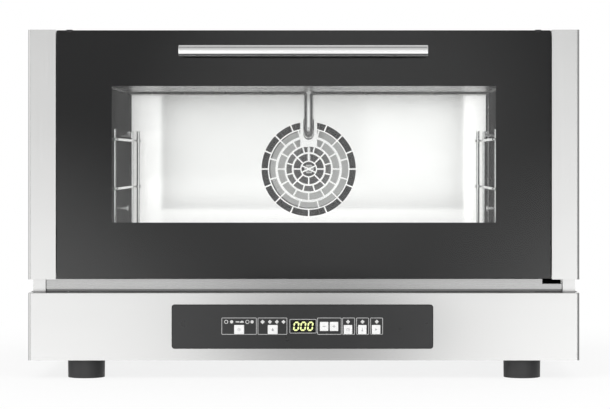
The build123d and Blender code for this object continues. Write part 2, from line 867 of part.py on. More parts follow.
with BuildPart() as insulation:
    jacket_front_y = liner_front_y + liner_sheet
    block(
        (-insulation_half, insulation_half),
        (jacket_front_y, insulation_back_y),
        (insulation_bottom, insulation_top),
    )
    block((-liner_half, liner_half), (jacket_front_y, liner_back_y), (liner_bottom, liner_top), Mode.SUBTRACT)
    rod_x(lamp_radius + pin_gap, lamp_y, lamp_z, liner_half, insulation_half, Mode.SUBTRACT)
    rod_z(tube_radius + pin_gap, 0, tube_y, liner_top, insulation_top, Mode.SUBTRACT)
    for hole_radius, hole_x, hole_z in (
        (shaft_tunnel, 0, fan_z),
        (vent_radius + pin_gap, vent_x, vent_z),
        (probe_radius + pin_gap, probe_x, probe_z),
        (heater_tube / 2 + pin_gap, -heater_end_x, heater_low_z),
        (heater_tube / 2 + pin_gap, heater_end_x, heater_loop_z),
    ):
        rod_y(hole_radius, hole_x, hole_z, liner_back_y, insulation_back_y, Mode.SUBTRACT)
    with BuildSketch(front_plane(insulation_back_y)):
        with Locations((0, fan_z)):
            with GridLocations(motor_stud_spread, motor_stud_spread, 2, 2):
                Circle(motor_stud_radius + pin_gap)
    extrude(amount=insulation_thickness, mode=Mode.SUBTRACT)

# Fan baffle: polished wall in front of the fan, with a ring grille and a notch for the water tube
grille_radius = fan_wheel_radius - 19.0
grille_ring_shares = [
    (0.866, 1.0, 16, 0.0),
    (0.705, 0.839, 12, 15.0),
    (0.512, 0.654, 12, 0.0),
    (0.360, 0.474, 12, 15.0),
    (0.180, 0.322, 8, 0.0),
]
grille_rings = [
    (inner * grille_radius, outer * grille_radius, slots, angle)
    for inner, outer, slots, angle in grille_ring_shares
]
grille_centre_radius = 0.153 * grille_radius
grille_centre_rib_angle = 26.0
baffle_half = cavity_half - baffle_side_gap
baffle_bottom = cavity_floor + baffle_bottom_gap
baffle_top = cavity_top - baffle_top_gap
baffle_back_y = baffle_y + baffle_sheet
baffle_flange_depth = 10.0
land_bottom_rise = 38.0
land_overlap = 4.0

with BuildPart() as fan_baffle:
    block(
        (-baffle_half, baffle_half),
        (baffle_y, baffle_y + baffle_flange_depth),
        (baffle_bottom, baffle_top),
    )
    fillet(fan_baffle.faces().sort_by(Axis.Y)[0].edges(), baffle_bend)
    block(
        (-baffle_half + baffle_sheet, baffle_half - baffle_sheet),
        (baffle_back_y, baffle_y + baffle_flange_depth),
        (baffle_bottom + baffle_sheet, baffle_top - baffle_sheet),
        Mode.SUBTRACT,
    )
    with BuildSketch(front_plane(baffle_back_y)):
        with Locations((0, fan_z)):
            for ring_inner, ring_outer, slot_count, first_rib in grille_rings:
                with BuildSketch(mode=Mode.PRIVATE) as ring:
                    Circle(ring_outer)
                    Circle(ring_inner, mode=Mode.SUBTRACT)
                    for rib in range(slot_count):
                        rib_angle = first_rib + 360.0 * rib / slot_count
                        middle = (ring_inner + ring_outer) / 2
                        rib_place = (middle * cos(radians(rib_angle)), middle * sin(radians(rib_angle)))
                        with Locations(Location(rib_place, rib_angle)):
                            Rectangle(2 * (ring_outer - ring_inner), grille_rib, mode=Mode.SUBTRACT)
                    if ring_inner > land_bottom_rise:
                        land_height = 2 * (ring_outer - ring_inner + land_overlap)
                        with Locations((0, ring_outer)):
                            Rectangle(grille_land_width, land_height, mode=Mode.SUBTRACT)
                add(ring.sketch)
            with BuildSketch(mode=Mode.PRIVATE) as centre:
                Circle(grille_centre_radius)
                for rib_angle in (grille_centre_rib_angle, 180.0 - grille_centre_rib_angle):
                    Rectangle(4 * grille_centre_radius, grille_rib, rotation=rib_angle, mode=Mode.SUBTRACT)
            add(centre.sketch)
        with BuildLine():
            notch_half = notch_width / 2
            notch_bottom = fan_z + notch_bottom_rise
            notch_arc = notch_bottom + notch_half
            notch_top = fan_z + notch_top_rise
            Polyline(
                (notch_half, notch_arc),
                (notch_half, notch_top),
                (-notch_half, notch_top),
                (-notch_half, notch_arc),
            )
            ThreePointArc((-notch_half, notch_arc), (0, notch_bottom), (notch_half, notch_arc))
        make_face()
    extrude(amount=baffle_sheet, mode=Mode.SUBTRACT)
    for side in (-1, 1):
        rod_y(
            baffle_screw_radius + hole_gap,
            side * boss_x,
            boss_bottom_z,
            baffle_y,
            baffle_back_y,
            Mode.SUBTRACT,
        )

# Baffle screws: two knurled heads low down, under the window's edge
thumb_head_radius = 7.0
thumb_head_length = 6.0
thumb_head_edge = 0.8

with BuildPart() as baffle_screws:
    for side in (-1, 1):
        rod_y(thumb_head_radius, side * boss_x, boss_bottom_z, baffle_y - thumb_head_length, baffle_y)
        screw_end_y = baffle_back_y + baffle_screw_length
        rod_y(baffle_screw_radius, side * boss_x, boss_bottom_z, baffle_y, screw_end_y)
    chamfer(baffle_screws.edges().filter_by(GeomType.CIRCLE).group_by(Axis.Y)[0], thumb_head_edge)

# Heating element: two turns of tube round the fan wheel, both ends led out through the rear wall
heater_turns = 2.0 - heater_end_angle / pi
heater_height = heater_pitch * heater_turns
heater_rear_gap = 8.0
heater_back_y = cavity_rear_y - heater_rear_gap
heater_front_y = heater_back_y - heater_height
heater_outside_y = insulation_back_y + 14.0
heater_plate_margin = 8.0
heater_plate_sheet = 2.0
heater_plane = Plane(
    origin=(0, heater_front_y, fan_z),
    x_dir=(-sin(heater_end_angle), 0, -cos(heater_end_angle)),
    z_dir=(0, 1, 0),
)

heater_coil = Edge.make_helix(heater_pitch, heater_height, heater_radius)

with BuildPart() as heating_element:
    with BuildLine() as heater_path:
        add(heater_plane.location * heater_coil)
    with BuildSketch(Plane(heater_path.line @ 0, z_dir=heater_path.line % 0)):
        Circle(heater_tube / 2)
    sweep(path=heater_path.line)
    rod_z(heater_tube / 2, -heater_end_x, heater_front_y, heater_low_z, heater_loop_z)
    rod_y(heater_tube / 2, -heater_end_x, heater_low_z, heater_front_y, heater_outside_y)
    rod_y(heater_tube / 2, heater_end_x, heater_loop_z, heater_back_y, heater_outside_y)
    with Locations(
        (-heater_end_x, heater_front_y, heater_low_z),
        (-heater_end_x, heater_front_y, heater_loop_z),
        (heater_end_x, heater_back_y, heater_loop_z),
    ):
        Sphere(heater_tube / 2)
    block(
        (-heater_end_x - heater_plate_margin, heater_end_x + heater_plate_margin),
        (insulation_back_y, insulation_back_y + heater_plate_sheet),
        (heater_low_z - heater_plate_margin, heater_loop_z + heater_plate_margin),
    )

# Fan wheel on the motor's shaft
wheel_sheet = 1.5
wheel_back_y = cavity_rear_y - fan_wheel_rear_gap
wheel_front_y = wheel_back_y - fan_wheel_depth
wheel_ring_width = 12.0
blade_outer_radius = fan_wheel_radius - 1.0
wheel_dish_radius = 26.0
wheel_dish_height = 6.0
hub_radius = 13.0
hub_front_y = wheel_back_y - 20.0
nut_length = 8.0
nut_radius = 9.0
shaft_tip = 2.0

with BuildPart() as fan_impeller:
    rod_y(fan_wheel_radius, 0, fan_z, wheel_back_y - wheel_sheet, wheel_back_y)
    rod_y(wheel_dish_radius, 0, fan_z, wheel_back_y - wheel_dish_height, wheel_back_y)
    rod_y(hub_radius, 0, fan_z, hub_front_y, wheel_back_y)
    with BuildSketch(front_plane(wheel_back_y)):
        with Locations((0, fan_z)):
            with PolarLocations((fan_blade_inner_radius + blade_outer_radius) / 2, fan_blade_count):
                Rectangle(blade_outer_radius - fan_blade_inner_radius, wheel_sheet)
    extrude(amount=fan_wheel_depth)
    with BuildSketch(front_plane(wheel_front_y + wheel_sheet)):
        with Locations((0, fan_z)):
            Circle(fan_wheel_radius)
            Circle(fan_wheel_radius - wheel_ring_width, mode=Mode.SUBTRACT)
    extrude(amount=wheel_sheet)
    rod_y(shaft_radius, 0, fan_z, hub_front_y, wheel_back_y, Mode.SUBTRACT)

with BuildPart() as impeller_nut:
    with BuildSketch(front_plane(hub_front_y)):
        with Locations((0, fan_z)):
            RegularPolygon(nut_radius, 6)
            Circle(shaft_radius, mode=Mode.SUBTRACT)
    extrude(amount=nut_length)
    chamfer(impeller_nut.faces().sort_by(Axis.Y)[0].outer_wire().edges(), 1.0)

motor_front_y = insulation_back_y + 2.0
motor_stack = 34.0
motor_stack_size = 90.0
motor_length = 74.0
motor_can_radius = 41.0
motor_boss_radius = 12.0
motor_boss_length = 5.0
motor_mount_margin = 15.0
motor_corner = 9.0
motor_can_edge = 4.0
motor_bore_depth = 38.0
shaft_depth_in_motor = motor_bore_depth - 1.0

with BuildPart() as motor_shaft:
    rod_y(shaft_radius, 0, fan_z, hub_front_y - nut_length - shaft_tip, motor_front_y + shaft_depth_in_motor)
    chamfer(motor_shaft.edges().filter_by(GeomType.CIRCLE).group_by(Axis.Y)[0], 1.0)

with BuildPart() as motor_mount:
    mount_half = motor_stud_spread / 2 + motor_mount_margin
    block(
        (-mount_half, mount_half),
        (insulation_back_y, motor_front_y),
        (fan_z - mount_half, fan_z + mount_half),
    )
    with BuildSketch(front_plane(insulation_back_y)):
        with Locations((0, fan_z)):
            with GridLocations(motor_stud_spread, motor_stud_spread, 2, 2):
                Circle(motor_stud_radius)
    extrude(amount=insulation_thickness)
    rod_y(shaft_tunnel, 0, fan_z, insulation_back_y, motor_front_y, Mode.SUBTRACT)

with BuildPart() as fan_motor:
    block(
        (-motor_stack_size / 2, motor_stack_size / 2),
        (motor_front_y, motor_front_y + motor_stack),
        (fan_z - motor_stack_size / 2, fan_z + motor_stack_size / 2),
    )
    fillet(fan_motor.edges().filter_by(Axis.Y), motor_corner)
    rod_y(motor_can_radius, 0, fan_z, motor_front_y + motor_stack, motor_front_y + motor_length)
    fillet(fan_motor.faces().sort_by(Axis.Y)[-1].edges(), motor_can_edge)
    rod_y(motor_boss_radius, 0, fan_z, motor_front_y - motor_boss_length, motor_front_y)
    rod_y(
        shaft_radius + pin_gap,
        0,
        fan_z,
        motor_front_y - motor_boss_length,
        motor_front_y + motor_bore_depth,
        Mode.SUBTRACT,
    )

# Water tube: from the valve over the cavity, down through its ceiling and back to the fan's hub
tube_start_y = rear_inside_y - 34.0
tube_level_z = fan_z + tube_level_rise
tube_drop_y = wheel_front_y - tube_radius - 5.0
tube_outlet_z = fan_z + tube_outlet_rise
tube_collar_radius = 13.0
tube_collar_height = 3.0

with BuildPart() as water_tube:
    with BuildLine() as tube_path:
        FilletPolyline(
            (0, tube_start_y, tube_run_z),
            (0, tube_y, tube_run_z),
            (0, tube_y, tube_level_z),
            (0, tube_drop_y, tube_level_z),
            (0, tube_drop_y, tube_outlet_z),
            radius=tube_bend,
        )
    with BuildSketch(front_plane(tube_start_y)):
        with Locations((0, tube_run_z)):
            Circle(tube_radius)
    sweep(path=tube_path.line)
    rod_z(tube_collar_radius, 0, tube_y, cavity_top - tube_collar_height, cavity_top)
    with BuildSketch(front_plane(tube_start_y)):
        with Locations((0, tube_run_z)):
            Circle(tube_bore)
    sweep(path=tube_path.line, mode=Mode.SUBTRACT)

valve_half = 14.0
valve_coil_radius = 12.0
valve_coil_length = 28.0
valve_flange_radius = 18.0
valve_flange_thickness = 4.0
valve_seat_depth = 12.0

with BuildPart() as water_valve:
    valve_back_y = rear_inside_y
    valve_mid_y = (tube_start_y + valve_back_y - valve_flange_thickness) / 2
    block(
        (-valve_half, valve_half),
        (tube_start_y, valve_back_y - valve_flange_thickness),
        (tube_run_z - valve_half, tube_run_z + valve_half),
    )
    rod_x(valve_coil_radius, valve_mid_y, tube_run_z, valve_half, valve_half + valve_coil_length)
    rod_y(valve_flange_radius, 0, tube_run_z, valve_back_y - valve_flange_thickness, valve_back_y)
    rod_y(inlet_shoulder_radius, 0, tube_run_z, valve_back_y, rear_y + inlet_shoulder_proud)
    rod_y(water_inlet_radius, 0, tube_run_z, rear_y, rear_y + water_inlet_stub)
    chamfer(water_valve.faces().sort_by(Axis.Y)[-1].edges(), 1.0)
    valve_seat_y = valve_back_y - valve_seat_depth
    rod_y(water_inlet_bore, 0, tube_run_z, valve_seat_y, rear_y + water_inlet_stub, Mode.SUBTRACT)
    rod_y(tube_bore, 0, tube_run_z, tube_start_y, valve_seat_y, Mode.SUBTRACT)

# Steam outlet pipe from the cavity's rear wall to the back of the oven
with BuildPart() as vent_pipe:
    rod_y(vent_radius, vent_x, vent_z, liner_back_y, rear_y + vent_stub)
    rod_y(vent_flange_radius, vent_x, vent_z, rear_y, rear_y + vent_flange_sheet)
    rod_y(vent_bore, vent_x, vent_z, liner_back_y, rear_y + vent_stub, Mode.SUBTRACT)

# Temperature probe with its gland outside the insulation
probe_reach = 45.0
probe_gland_radius = 8.0
probe_gland_length = 9.0
probe_tip_round = 2.0
probe_outside_length = 16.0

with BuildPart() as temperature_probe:
    probe_end_y = insulation_back_y + probe_outside_length
    rod_y(probe_radius, probe_x, probe_z, cavity_rear_y - probe_reach, probe_end_y)
    fillet(temperature_probe.edges().filter_by(GeomType.CIRCLE).group_by(Axis.Y)[0], probe_tip_round)
    with BuildSketch(front_plane(insulation_back_y + probe_gland_length)):
        with Locations((probe_x, probe_z)):
            RegularPolygon(probe_gland_radius, 6)
    extrude(amount=probe_gland_length)

# Cavity lamp in the right wall
lamp_depth = 44.0
lamp_wall = 1.5
lamp_rim_radius = 31.0
lamp_rim_height = 2.5
lamp_lens_height = 6.0
lamp_lens_round = 3.5
lamp_bulb_round = 4.0
lamp_bulb_radius = 6.0
lamp_base_radius = 8.0
lamp_base_length = 14.0
lamp_bulb_length = 32.0
lamp_bore = lamp_radius - lamp_wall
lamp_inside_x = cavity_half + lamp_depth - lamp_wall
lamp_socket_x = lamp_inside_x - lamp_base_length

with BuildPart() as lamp_housing:
    rod_x(lamp_radius, lamp_y, lamp_z, cavity_half, cavity_half + lamp_depth)
    rod_x(lamp_rim_radius, lamp_y, lamp_z, cavity_half - lamp_rim_height, cavity_half)
    rod_x(lamp_bore, lamp_y, lamp_z, cavity_half - lamp_rim_height, lamp_inside_x, Mode.SUBTRACT)

with BuildPart() as lamp_lens:
    rod_x(lamp_bore - pin_gap, lamp_y, lamp_z, cavity_half - lamp_lens_height, cavity_half)
    fillet(lamp_lens.faces().sort_by(Axis.X)[0].edges(), lamp_lens_round)

with BuildPart() as lamp_bulb:
    rod_x(lamp_base_radius, lamp_y, lamp_z, lamp_socket_x, lamp_inside_x)
    rod_x(lamp_bulb_radius, lamp_y, lamp_z, lamp_inside_x - lamp_bulb_length, lamp_socket_x)
    fillet(lamp_bulb.faces().sort_by(Axis.X)[0].edges(), lamp_bulb_round)

# Side racks: two uprights, a tray stop and three bent rails a side, hung on studs by short hooks
rack_front_y = mouth_y + rack_front_y_from_mouth
rack_rear_y = baffle_y - rack_rear_room
weld_depth = 0.3
rail_cross_offset = (rack_wire + rail_wire) / 2 - weld_depth
rail_x = rack_upright_x - rail_cross_offset
stop_x = rack_upright_x - rack_stop_reach
rail_stop_x = stop_x - rail_cross_offset
rail_count = 3
rail_levels = [cavity_floor + rail_bottom_rise + rail_pitch * level for level in range(rail_count)]
rail_corner = 3.0
knot_wire = 1.3
knot_radius = rack_wire / 2 + 0.6
hook_offset = 4.0
hook_x = rack_upright_x + hook_offset
hook_reach = 18.0
hook_overhang = 4.0
stud_head_gap = 1.0
stud_shank_end_x = hook_x - rail_wire / 2 - stud_head_gap
stud_head_thickness = 2.0
upper_stud_rise = 181.0
lower_stud_rise = 22.0
rack_supports = [
    (rack_rear_y, cavity_floor + upper_stud_rise),
    (rack_front_y, cavity_floor + lower_stud_rise),
]
spare_stud_y = baffle_y - 148.0
spare_stud_z = cavity_floor + 68.0
rack_uprights = [
    (rack_upright_x, rack_front_y),
    (rack_upright_x, rack_rear_y),
    (stop_x, rack_rear_y),
]
stud_places = [(upright_y - hook_reach, stud_z) for upright_y, stud_z in rack_supports]
stud_places.append((spare_stud_y, spare_stud_z))

with BuildPart() as side_rack_right:
    for upright_x, upright_y in rack_uprights:
        rod_z(
            rack_wire / 2,
            upright_x,
            upright_y,
            cavity_floor + rack_bottom_rise,
            cavity_floor + rack_top_rise,
        )
    for rail_z in rail_levels:
        with BuildLine() as rail_path:
            FilletPolyline(
                (rail_end_x, rack_front_y - rail_cross_offset, rail_z),
                (rail_x, rack_front_y - rail_cross_offset, rail_z),
                (rail_x, rack_rear_y + rail_cross_offset, rail_z),
                (rail_stop_x, rack_rear_y + rail_cross_offset, rail_z),
                radius=rail_corner,
            )
        with BuildSketch(Plane(rail_path.line @ 0, z_dir=rail_path.line % 0)):
            Circle(rail_wire / 2)
        sweep(path=rail_path.line)
        with Locations((rack_upright_x, rack_front_y, rail_z), (rack_upright_x, rack_rear_y, rail_z)):
            Torus(knot_radius, knot_wire)
    for upright_y, stud_z in rack_supports:
        hook_z = stud_z + rack_stud_radius + rail_wire / 2
        hook_end_y = upright_y - hook_reach - hook_overhang
        rod_y(rail_wire / 2, hook_x, hook_z, hook_end_y, upright_y)

with BuildPart() as side_rack_left:
    add(mirror(side_rack_right.part, about=Plane.YZ, mode=Mode.PRIVATE))

# Studs welded to the liner: the rack studs on its side walls and the baffle's bosses on its rear wall
with BuildPart() as liner_studs:
    for stud_y, stud_z in stud_places:
        rod_x(rack_stud_radius, stud_y, stud_z, stud_shank_end_x, cavity_half)
        rod_x(rack_stud_head_radius, stud_y, stud_z, stud_shank_end_x - stud_head_thickness, stud_shank_end_x)
    for boss_z in (boss_bottom_z, boss_top_z):
        rod_y(boss_radius, boss_x, boss_z, baffle_back_y, cavity_rear_y)
    rod_y(
        baffle_screw_radius + pin_gap,
        boss_x,
        boss_bottom_z,
        baffle_back_y,
        baffle_back_y + baffle_screw_hole,
        Mode.SUBTRACT,
    )
    mirror(about=Plane.YZ)

# Cooling fan behind the rear panel's grille
cooling_hub_radius = 14.0
cooling_strut_thickness = 3.0
cooling_strut_width = 4.0
cooling_screw_spread = 71.5
cooling_screw_radius = 2.2
rotor_hub_radius = 15.0
rotor_tip_gap = 1.5
rotor_depth = 17.0
rotor_shaft_radius = 2.0
rotor_blade_count = 7
rotor_blade_sheet = 1.4
rotor_blade_angle = 38.0
rotor_blade_inset = 1.0
rotor_hub_edge = 2.0
rotor_shaft_end_gap = 0.5
cooling_corner = 5.0
cooling_strut_overlap = 1.5
cooling_strut_count = 4

with BuildPart() as cooling_fan_frame:
    with BuildSketch(front_plane(rear_inside_y)):
        with Locations((cooling_fan_x, cooling_fan_z)):
            RectangleRounded(cooling_fan_size, cooling_fan_size, cooling_corner)
            Circle(cooling_fan_bore, mode=Mode.SUBTRACT)
            with GridLocations(cooling_screw_spread, cooling_screw_spread, 2, 2):
                Circle(cooling_screw_radius, mode=Mode.SUBTRACT)
    extrude(amount=cooling_fan_depth)
    with BuildSketch(front_plane(rear_inside_y)):
        with Locations((cooling_fan_x, cooling_fan_z)):
            Circle(cooling_hub_radius)
            with PolarLocations(cooling_fan_bore / 2, cooling_strut_count, start_angle=45.0):
                Rectangle(cooling_fan_bore + 2 * cooling_strut_overlap, cooling_strut_width)
    extrude(amount=cooling_strut_thickness)
    rod_y(
        rotor_shaft_radius + pin_gap,
        cooling_fan_x,
        cooling_fan_z,
        rear_inside_y - cooling_strut_thickness,
        rear_inside_y,
        Mode.SUBTRACT,
    )

rotor_back_y = rear_inside_y - cooling_strut_thickness - slip_gap
rotor_mid_y = rotor_back_y - rotor_depth / 2
rotor_blade_length = cooling_fan_bore - rotor_tip_gap - rotor_hub_radius + 2.0

with BuildPart() as cooling_fan_rotor:
    rod_y(rotor_hub_radius, cooling_fan_x, cooling_fan_z, rotor_back_y - rotor_depth, rotor_back_y)
    fillet(cooling_fan_rotor.faces().sort_by(Axis.Y)[0].edges(), rotor_hub_edge)
    rotor_end_y = rear_inside_y - rotor_shaft_end_gap
    rod_y(rotor_shaft_radius, cooling_fan_x, cooling_fan_z, rotor_back_y, rotor_end_y)
    blade_middle = rotor_hub_radius - 2.0 + rotor_blade_length / 2
    for blade in range(rotor_blade_count):
        blade_turn = 360.0 * blade / rotor_blade_count
        blade_plane = Plane(
            origin=(
                cooling_fan_x + blade_middle * cos(radians(blade_turn)),
                rotor_mid_y,
                cooling_fan_z + blade_middle * sin(radians(blade_turn)),
            ),
            x_dir=(cos(radians(blade_turn)), 0, sin(radians(blade_turn))),
            z_dir=(0, -1, 0),
        )
        with Locations(blade_plane.location * Location((0, 0, 0), (rotor_blade_angle, 0, 0))):
            Box(rotor_blade_length, rotor_blade_sheet, rotor_depth - 2 * rotor_blade_inset)

# Power board on standoffs, with relays, a transformer and capacitors
power_board_x = (-170.0, 40.0)
power_board_y = (-70.0, 70.0)
power_board_standoff = 10.0
power_board_z = pan_top + power_board_standoff
power_foot_radius = 3.0
power_foot_inset = 6.0
relay_count = 4
relay_pitch = 32.0
relay_size = (22.0, 28.0, 20.0)
relay_margin = 30.0
transformer_size = (46.0, 40.0, 34.0)
transformer_margin = 14.0
capacitor_count = 3
capacitor_pitch = 25.0
capacitor_radius = 8.0
capacitor_height = 24.0
board_part_margin = 12.0

with BuildPart() as power_board:
    block(power_board_x, power_board_y, (power_board_z, power_board_z + board_thickness))
    for corner_x in (power_board_x[0] + power_foot_inset, power_board_x[1] - power_foot_inset):
        for corner_y in (power_board_y[0] + power_foot_inset, power_board_y[1] - power_foot_inset):
            rod_z(power_foot_radius, corner_x, corner_y, pan_top, power_board_z)
    parts_z = power_board_z + board_thickness
    relay_y = power_board_y[0] + board_part_margin
    for relay in range(relay_count):
        relay_x = power_board_x[0] + relay_margin + relay_pitch * relay
        block(
            (relay_x, relay_x + relay_size[0]),
            (relay_y, relay_y + relay_size[1]),
            (parts_z, parts_z + relay_size[2]),
        )
    transformer_x = power_board_x[1] - transformer_margin
    transformer_y = power_board_y[1] - board_part_margin
    block(
        (transformer_x - transformer_size[0], transformer_x),
        (transformer_y - transformer_size[1], transformer_y),
        (parts_z, parts_z + transformer_size[2]),
    )
    for capacitor in range(capacitor_count):
        rod_z(
            capacitor_radius,
            power_board_x[0] + relay_margin + capacitor_pitch * capacitor,
            transformer_y - transformer_size[1] / 2,
            parts_z,
            parts_z + capacitor_height,
        )

# Terminal block beside the cable gland
terminal_size = (60.0, 28.0, 26.0)
terminal_setback = 48.0
terminal_hole_radius = 3.0
terminal_hole_depth = 12.0
terminal_hole_pitch = 11.0
terminal_row_pitch = 16.0
terminal_ways = 5
terminal_y = rear_inside_y - terminal_setback - terminal_size[1] / 2

with BuildPart() as terminal_block:
    block(
        (gland_x - terminal_size[0] / 2, gland_x + terminal_size[0] / 2),
        (terminal_y - terminal_size[1] / 2, terminal_y + terminal_size[1] / 2),
        (pan_top, pan_top + terminal_size[2]),
    )
    with BuildSketch(Plane.XY.offset(pan_top + terminal_size[2])):
        with Locations((gland_x, terminal_y)):
            with GridLocations(terminal_hole_pitch, terminal_row_pitch, terminal_ways, 2):
                Circle(terminal_hole_radius)
    extrude(amount=-terminal_hole_depth, mode=Mode.SUBTRACT)

# Cable gland: nut inside the rear panel, nut and dome outside
gland_nut_radius = 14.0
gland_nut_length = 6.0
gland_dome_length = 12.0
gland_dome_wall = 4.5
gland_dome_round = 3.0

with BuildPart() as cable_gland:
    rod_y(gland_thread_radius, gland_x, gland_z, rear_inside_y - gland_nut_length, rear_y)
    with BuildSketch(front_plane(rear_inside_y)):
        with Locations((gland_x, gland_z)):
            RegularPolygon(gland_nut_radius, 6)
    extrude(amount=gland_nut_length)
    with BuildSketch(front_plane(rear_y + gland_nut_length)):
        with Locations((gland_x, gland_z)):
            RegularPolygon(gland_nut_radius, 6)
    extrude(amount=gland_nut_length)
    rod_y(
        gland_bore + gland_dome_wall,
        gland_x,
        gland_z,
        rear_y + gland_nut_length,
        rear_y + gland_nut_length + gland_dome_length,
    )
    fillet(cable_gland.faces().sort_by(Axis.Y)[-1].edges(), gland_dome_round)
    rod_y(
        gland_bore,
        gland_x,
        gland_z,
        rear_inside_y - gland_nut_length,
        rear_y + gland_nut_length + gland_dome_length,
        Mode.SUBTRACT,
    )

# Door: outer glass with its dark border layer
window_z_range = (window_z - window_height / 2, window_z + window_height / 2)
stud_hole_radius = handle_stud_diameter / 2 + hole_gap
post_xs = (-handle_post_spread / 2, handle_post_spread / 2)
glass_corner = 2.0
glass_edge = 0.7

with BuildPart() as door_outer_glass:
    block((-door_half, door_half), (glass_front_y, border_front_y), (door_bottom, door_top))
    fillet(door_outer_glass.edges().filter_by(Axis.Y), glass_corner)
    chamfer(door_outer_glass.faces().sort_by(Axis.Y)[0].edges(), glass_edge)
    for post_x in post_xs:
        rod_y(stud_hole_radius, post_x, handle_z, glass_front_y, border_front_y, Mode.SUBTRACT)

with BuildPart() as door_window_border:
    block((-door_half, door_half), (border_front_y, door_frame_front_y), (door_bottom, door_top))
    fillet(door_window_border.edges().filter_by(Axis.Y), glass_corner)
    block(
        (-window_width / 2, window_width / 2),
        (border_front_y, door_frame_front_y),
        window_z_range,
        Mode.SUBTRACT,
    )
    for post_x in post_xs:
        rod_y(stud_hole_radius, post_x, handle_z, border_front_y, door_frame_front_y, Mode.SUBTRACT)

# Door frame: pressed shell with a hinge pocket in each lower corner
hinge_arm_outer_x = door_frame_half - door_sheet
hinge_arm_inner_x = hinge_arm_outer_x - hinge_plate
hinge_arm_width = 14.0
door_frame_corner = 3.0

with BuildPart() as door_frame:
    shell_y = (door_frame_front_y, door_frame_back_y)
    shell_z = (door_frame_bottom, door_frame_top)
    block((-door_frame_half, door_frame_half), shell_y, shell_z)
    fillet(door_frame.edges().filter_by(Axis.Y), door_frame_corner)
    hollow_y = (door_frame_front_y + door_sheet, door_frame_back_y - door_sheet)
    block(
        (-door_frame_half + door_sheet, door_frame_half - door_sheet),
        hollow_y,
        (door_frame_bottom + door_sheet, door_frame_top - door_sheet),
        Mode.SUBTRACT,
    )
    mirrored_block(
        (hinge_notch_x - door_sheet, door_frame_half),
        shell_y,
        (door_frame_bottom, hinge_notch_top + door_sheet),
    )
    mirrored_block(
        (hinge_notch_x, door_frame_half),
        shell_y,
        (door_frame_bottom, hinge_notch_top),
        Mode.SUBTRACT,
    )
    mirrored_block(
        (hinge_arm_inner_x - slip_gap, hinge_arm_outer_x),
        (hinge_y - hinge_arm_width / 2 - slip_gap, hinge_y + hinge_arm_width / 2 + slip_gap),
        (hinge_notch_top, hinge_notch_top + door_sheet),
        Mode.SUBTRACT,
    )
    block(
        (-door_frame_half + door_frame_flange, door_frame_half - door_frame_flange),
        (door_frame_front_y, door_frame_front_y + door_sheet),
        (door_frame_bottom + door_frame_flange, door_frame_top - door_frame_flange),
        Mode.SUBTRACT,
    )
    block(
        (-window_width / 2 - frame_hole_margin, window_width / 2 + frame_hole_margin),
        (door_frame_back_y - door_sheet, door_frame_back_y),
        (window_z_range[0] - frame_hole_margin, window_z_range[1] + frame_hole_margin),
        Mode.SUBTRACT,
    )
    for post_x in post_xs:
        rod_y(
            stud_hole_radius,
            post_x,
            handle_z,
            door_frame_front_y,
            door_frame_front_y + door_sheet,
            Mode.SUBTRACT,
        )

inner_glass_half = seal_inner_w / 2 + seal_width + inner_glass_margin
inner_glass_drop = seal_offset + seal_width + inner_glass_margin
inner_glass_corner = 3.0
inner_glass_edge = 0.5

with BuildPart() as door_inner_glass:
    block(
        (-inner_glass_half, inner_glass_half),
        (door_frame_back_y, inner_glass_back_y),
        (cavity_floor - inner_glass_drop, cavity_top + inner_glass_drop),
    )
    fillet(door_inner_glass.edges().filter_by(Axis.Y), inner_glass_corner)
    chamfer(door_inner_glass.faces().sort_by(Axis.Y)[-1].edges(), inner_glass_edge)

# Handle: round bar on two posts that are bolted through the glass and the frame
handle_nut_radius = 5.5
handle_nut_length = 5.0
handle_edge = 0.8

with BuildPart() as handle_bar:
    rod_x(handle_diameter / 2, handle_y, handle_z, -handle_length / 2, handle_length / 2)
    fillet(handle_bar.edges().filter_by(GeomType.CIRCLE), handle_edge)

with BuildPart() as handle_posts:
    for post_x in post_xs:
        rod_y(handle_post_diameter / 2, post_x, handle_z, handle_y, glass_front_y)
        rod_y(
            handle_stud_diameter / 2,
            post_x,
            handle_z,
            glass_front_y,
            door_frame_front_y + door_sheet + handle_nut_length,
        )
        with BuildSketch(front_plane(door_frame_front_y + door_sheet + handle_nut_length)):
            with Locations((post_x, handle_z)):
                RegularPolygon(handle_nut_radius, 6)
        extrude(amount=handle_nut_length)
    rod_x(handle_diameter / 2, handle_y, handle_z, -handle_length / 2, handle_length / 2, Mode.SUBTRACT)

# Clips over the door's top edge
clip_sheet = 0.8
clip_lip = 2.5
clip_reach = 5.0

with BuildPart() as door_top_clips:
    for side in (-1, 1):
        clip_x = (side * clip_spread / 2 - clip_width / 2, side * clip_spread / 2 + clip_width / 2)
        clip_front_y = glass_front_y - clip_sheet
        clip_rear_y = door_frame_front_y + clip_reach
        block(clip_x, (clip_front_y, clip_rear_y), (door_top, door_top + clip_sheet))
        block(clip_x, (clip_front_y, glass_front_y), (door_top - clip_lip, door_top))
        block(clip_x, (door_frame_front_y, clip_rear_y), (door_frame_top, door_top))

# Hinges: arms on the door, brackets with pins on the front frame, torsion springs round the pins
bracket_gap = 3.8
bracket_outer_x = hinge_arm_inner_x - bracket_gap
bracket_inner_x = bracket_outer_x - hinge_plate
bracket_foot_width = 19.0
bracket_foot_rise = 25.0
bracket_foot_thickness = 3.0
bracket_half_height = 7.5
pin_head_x = hinge_notch_x + 0.8
pin_head_thickness = 2.0
pin_head_radius = 6.0
pin_ring_thickness = 1.1
pin_ring_radius = 5.5

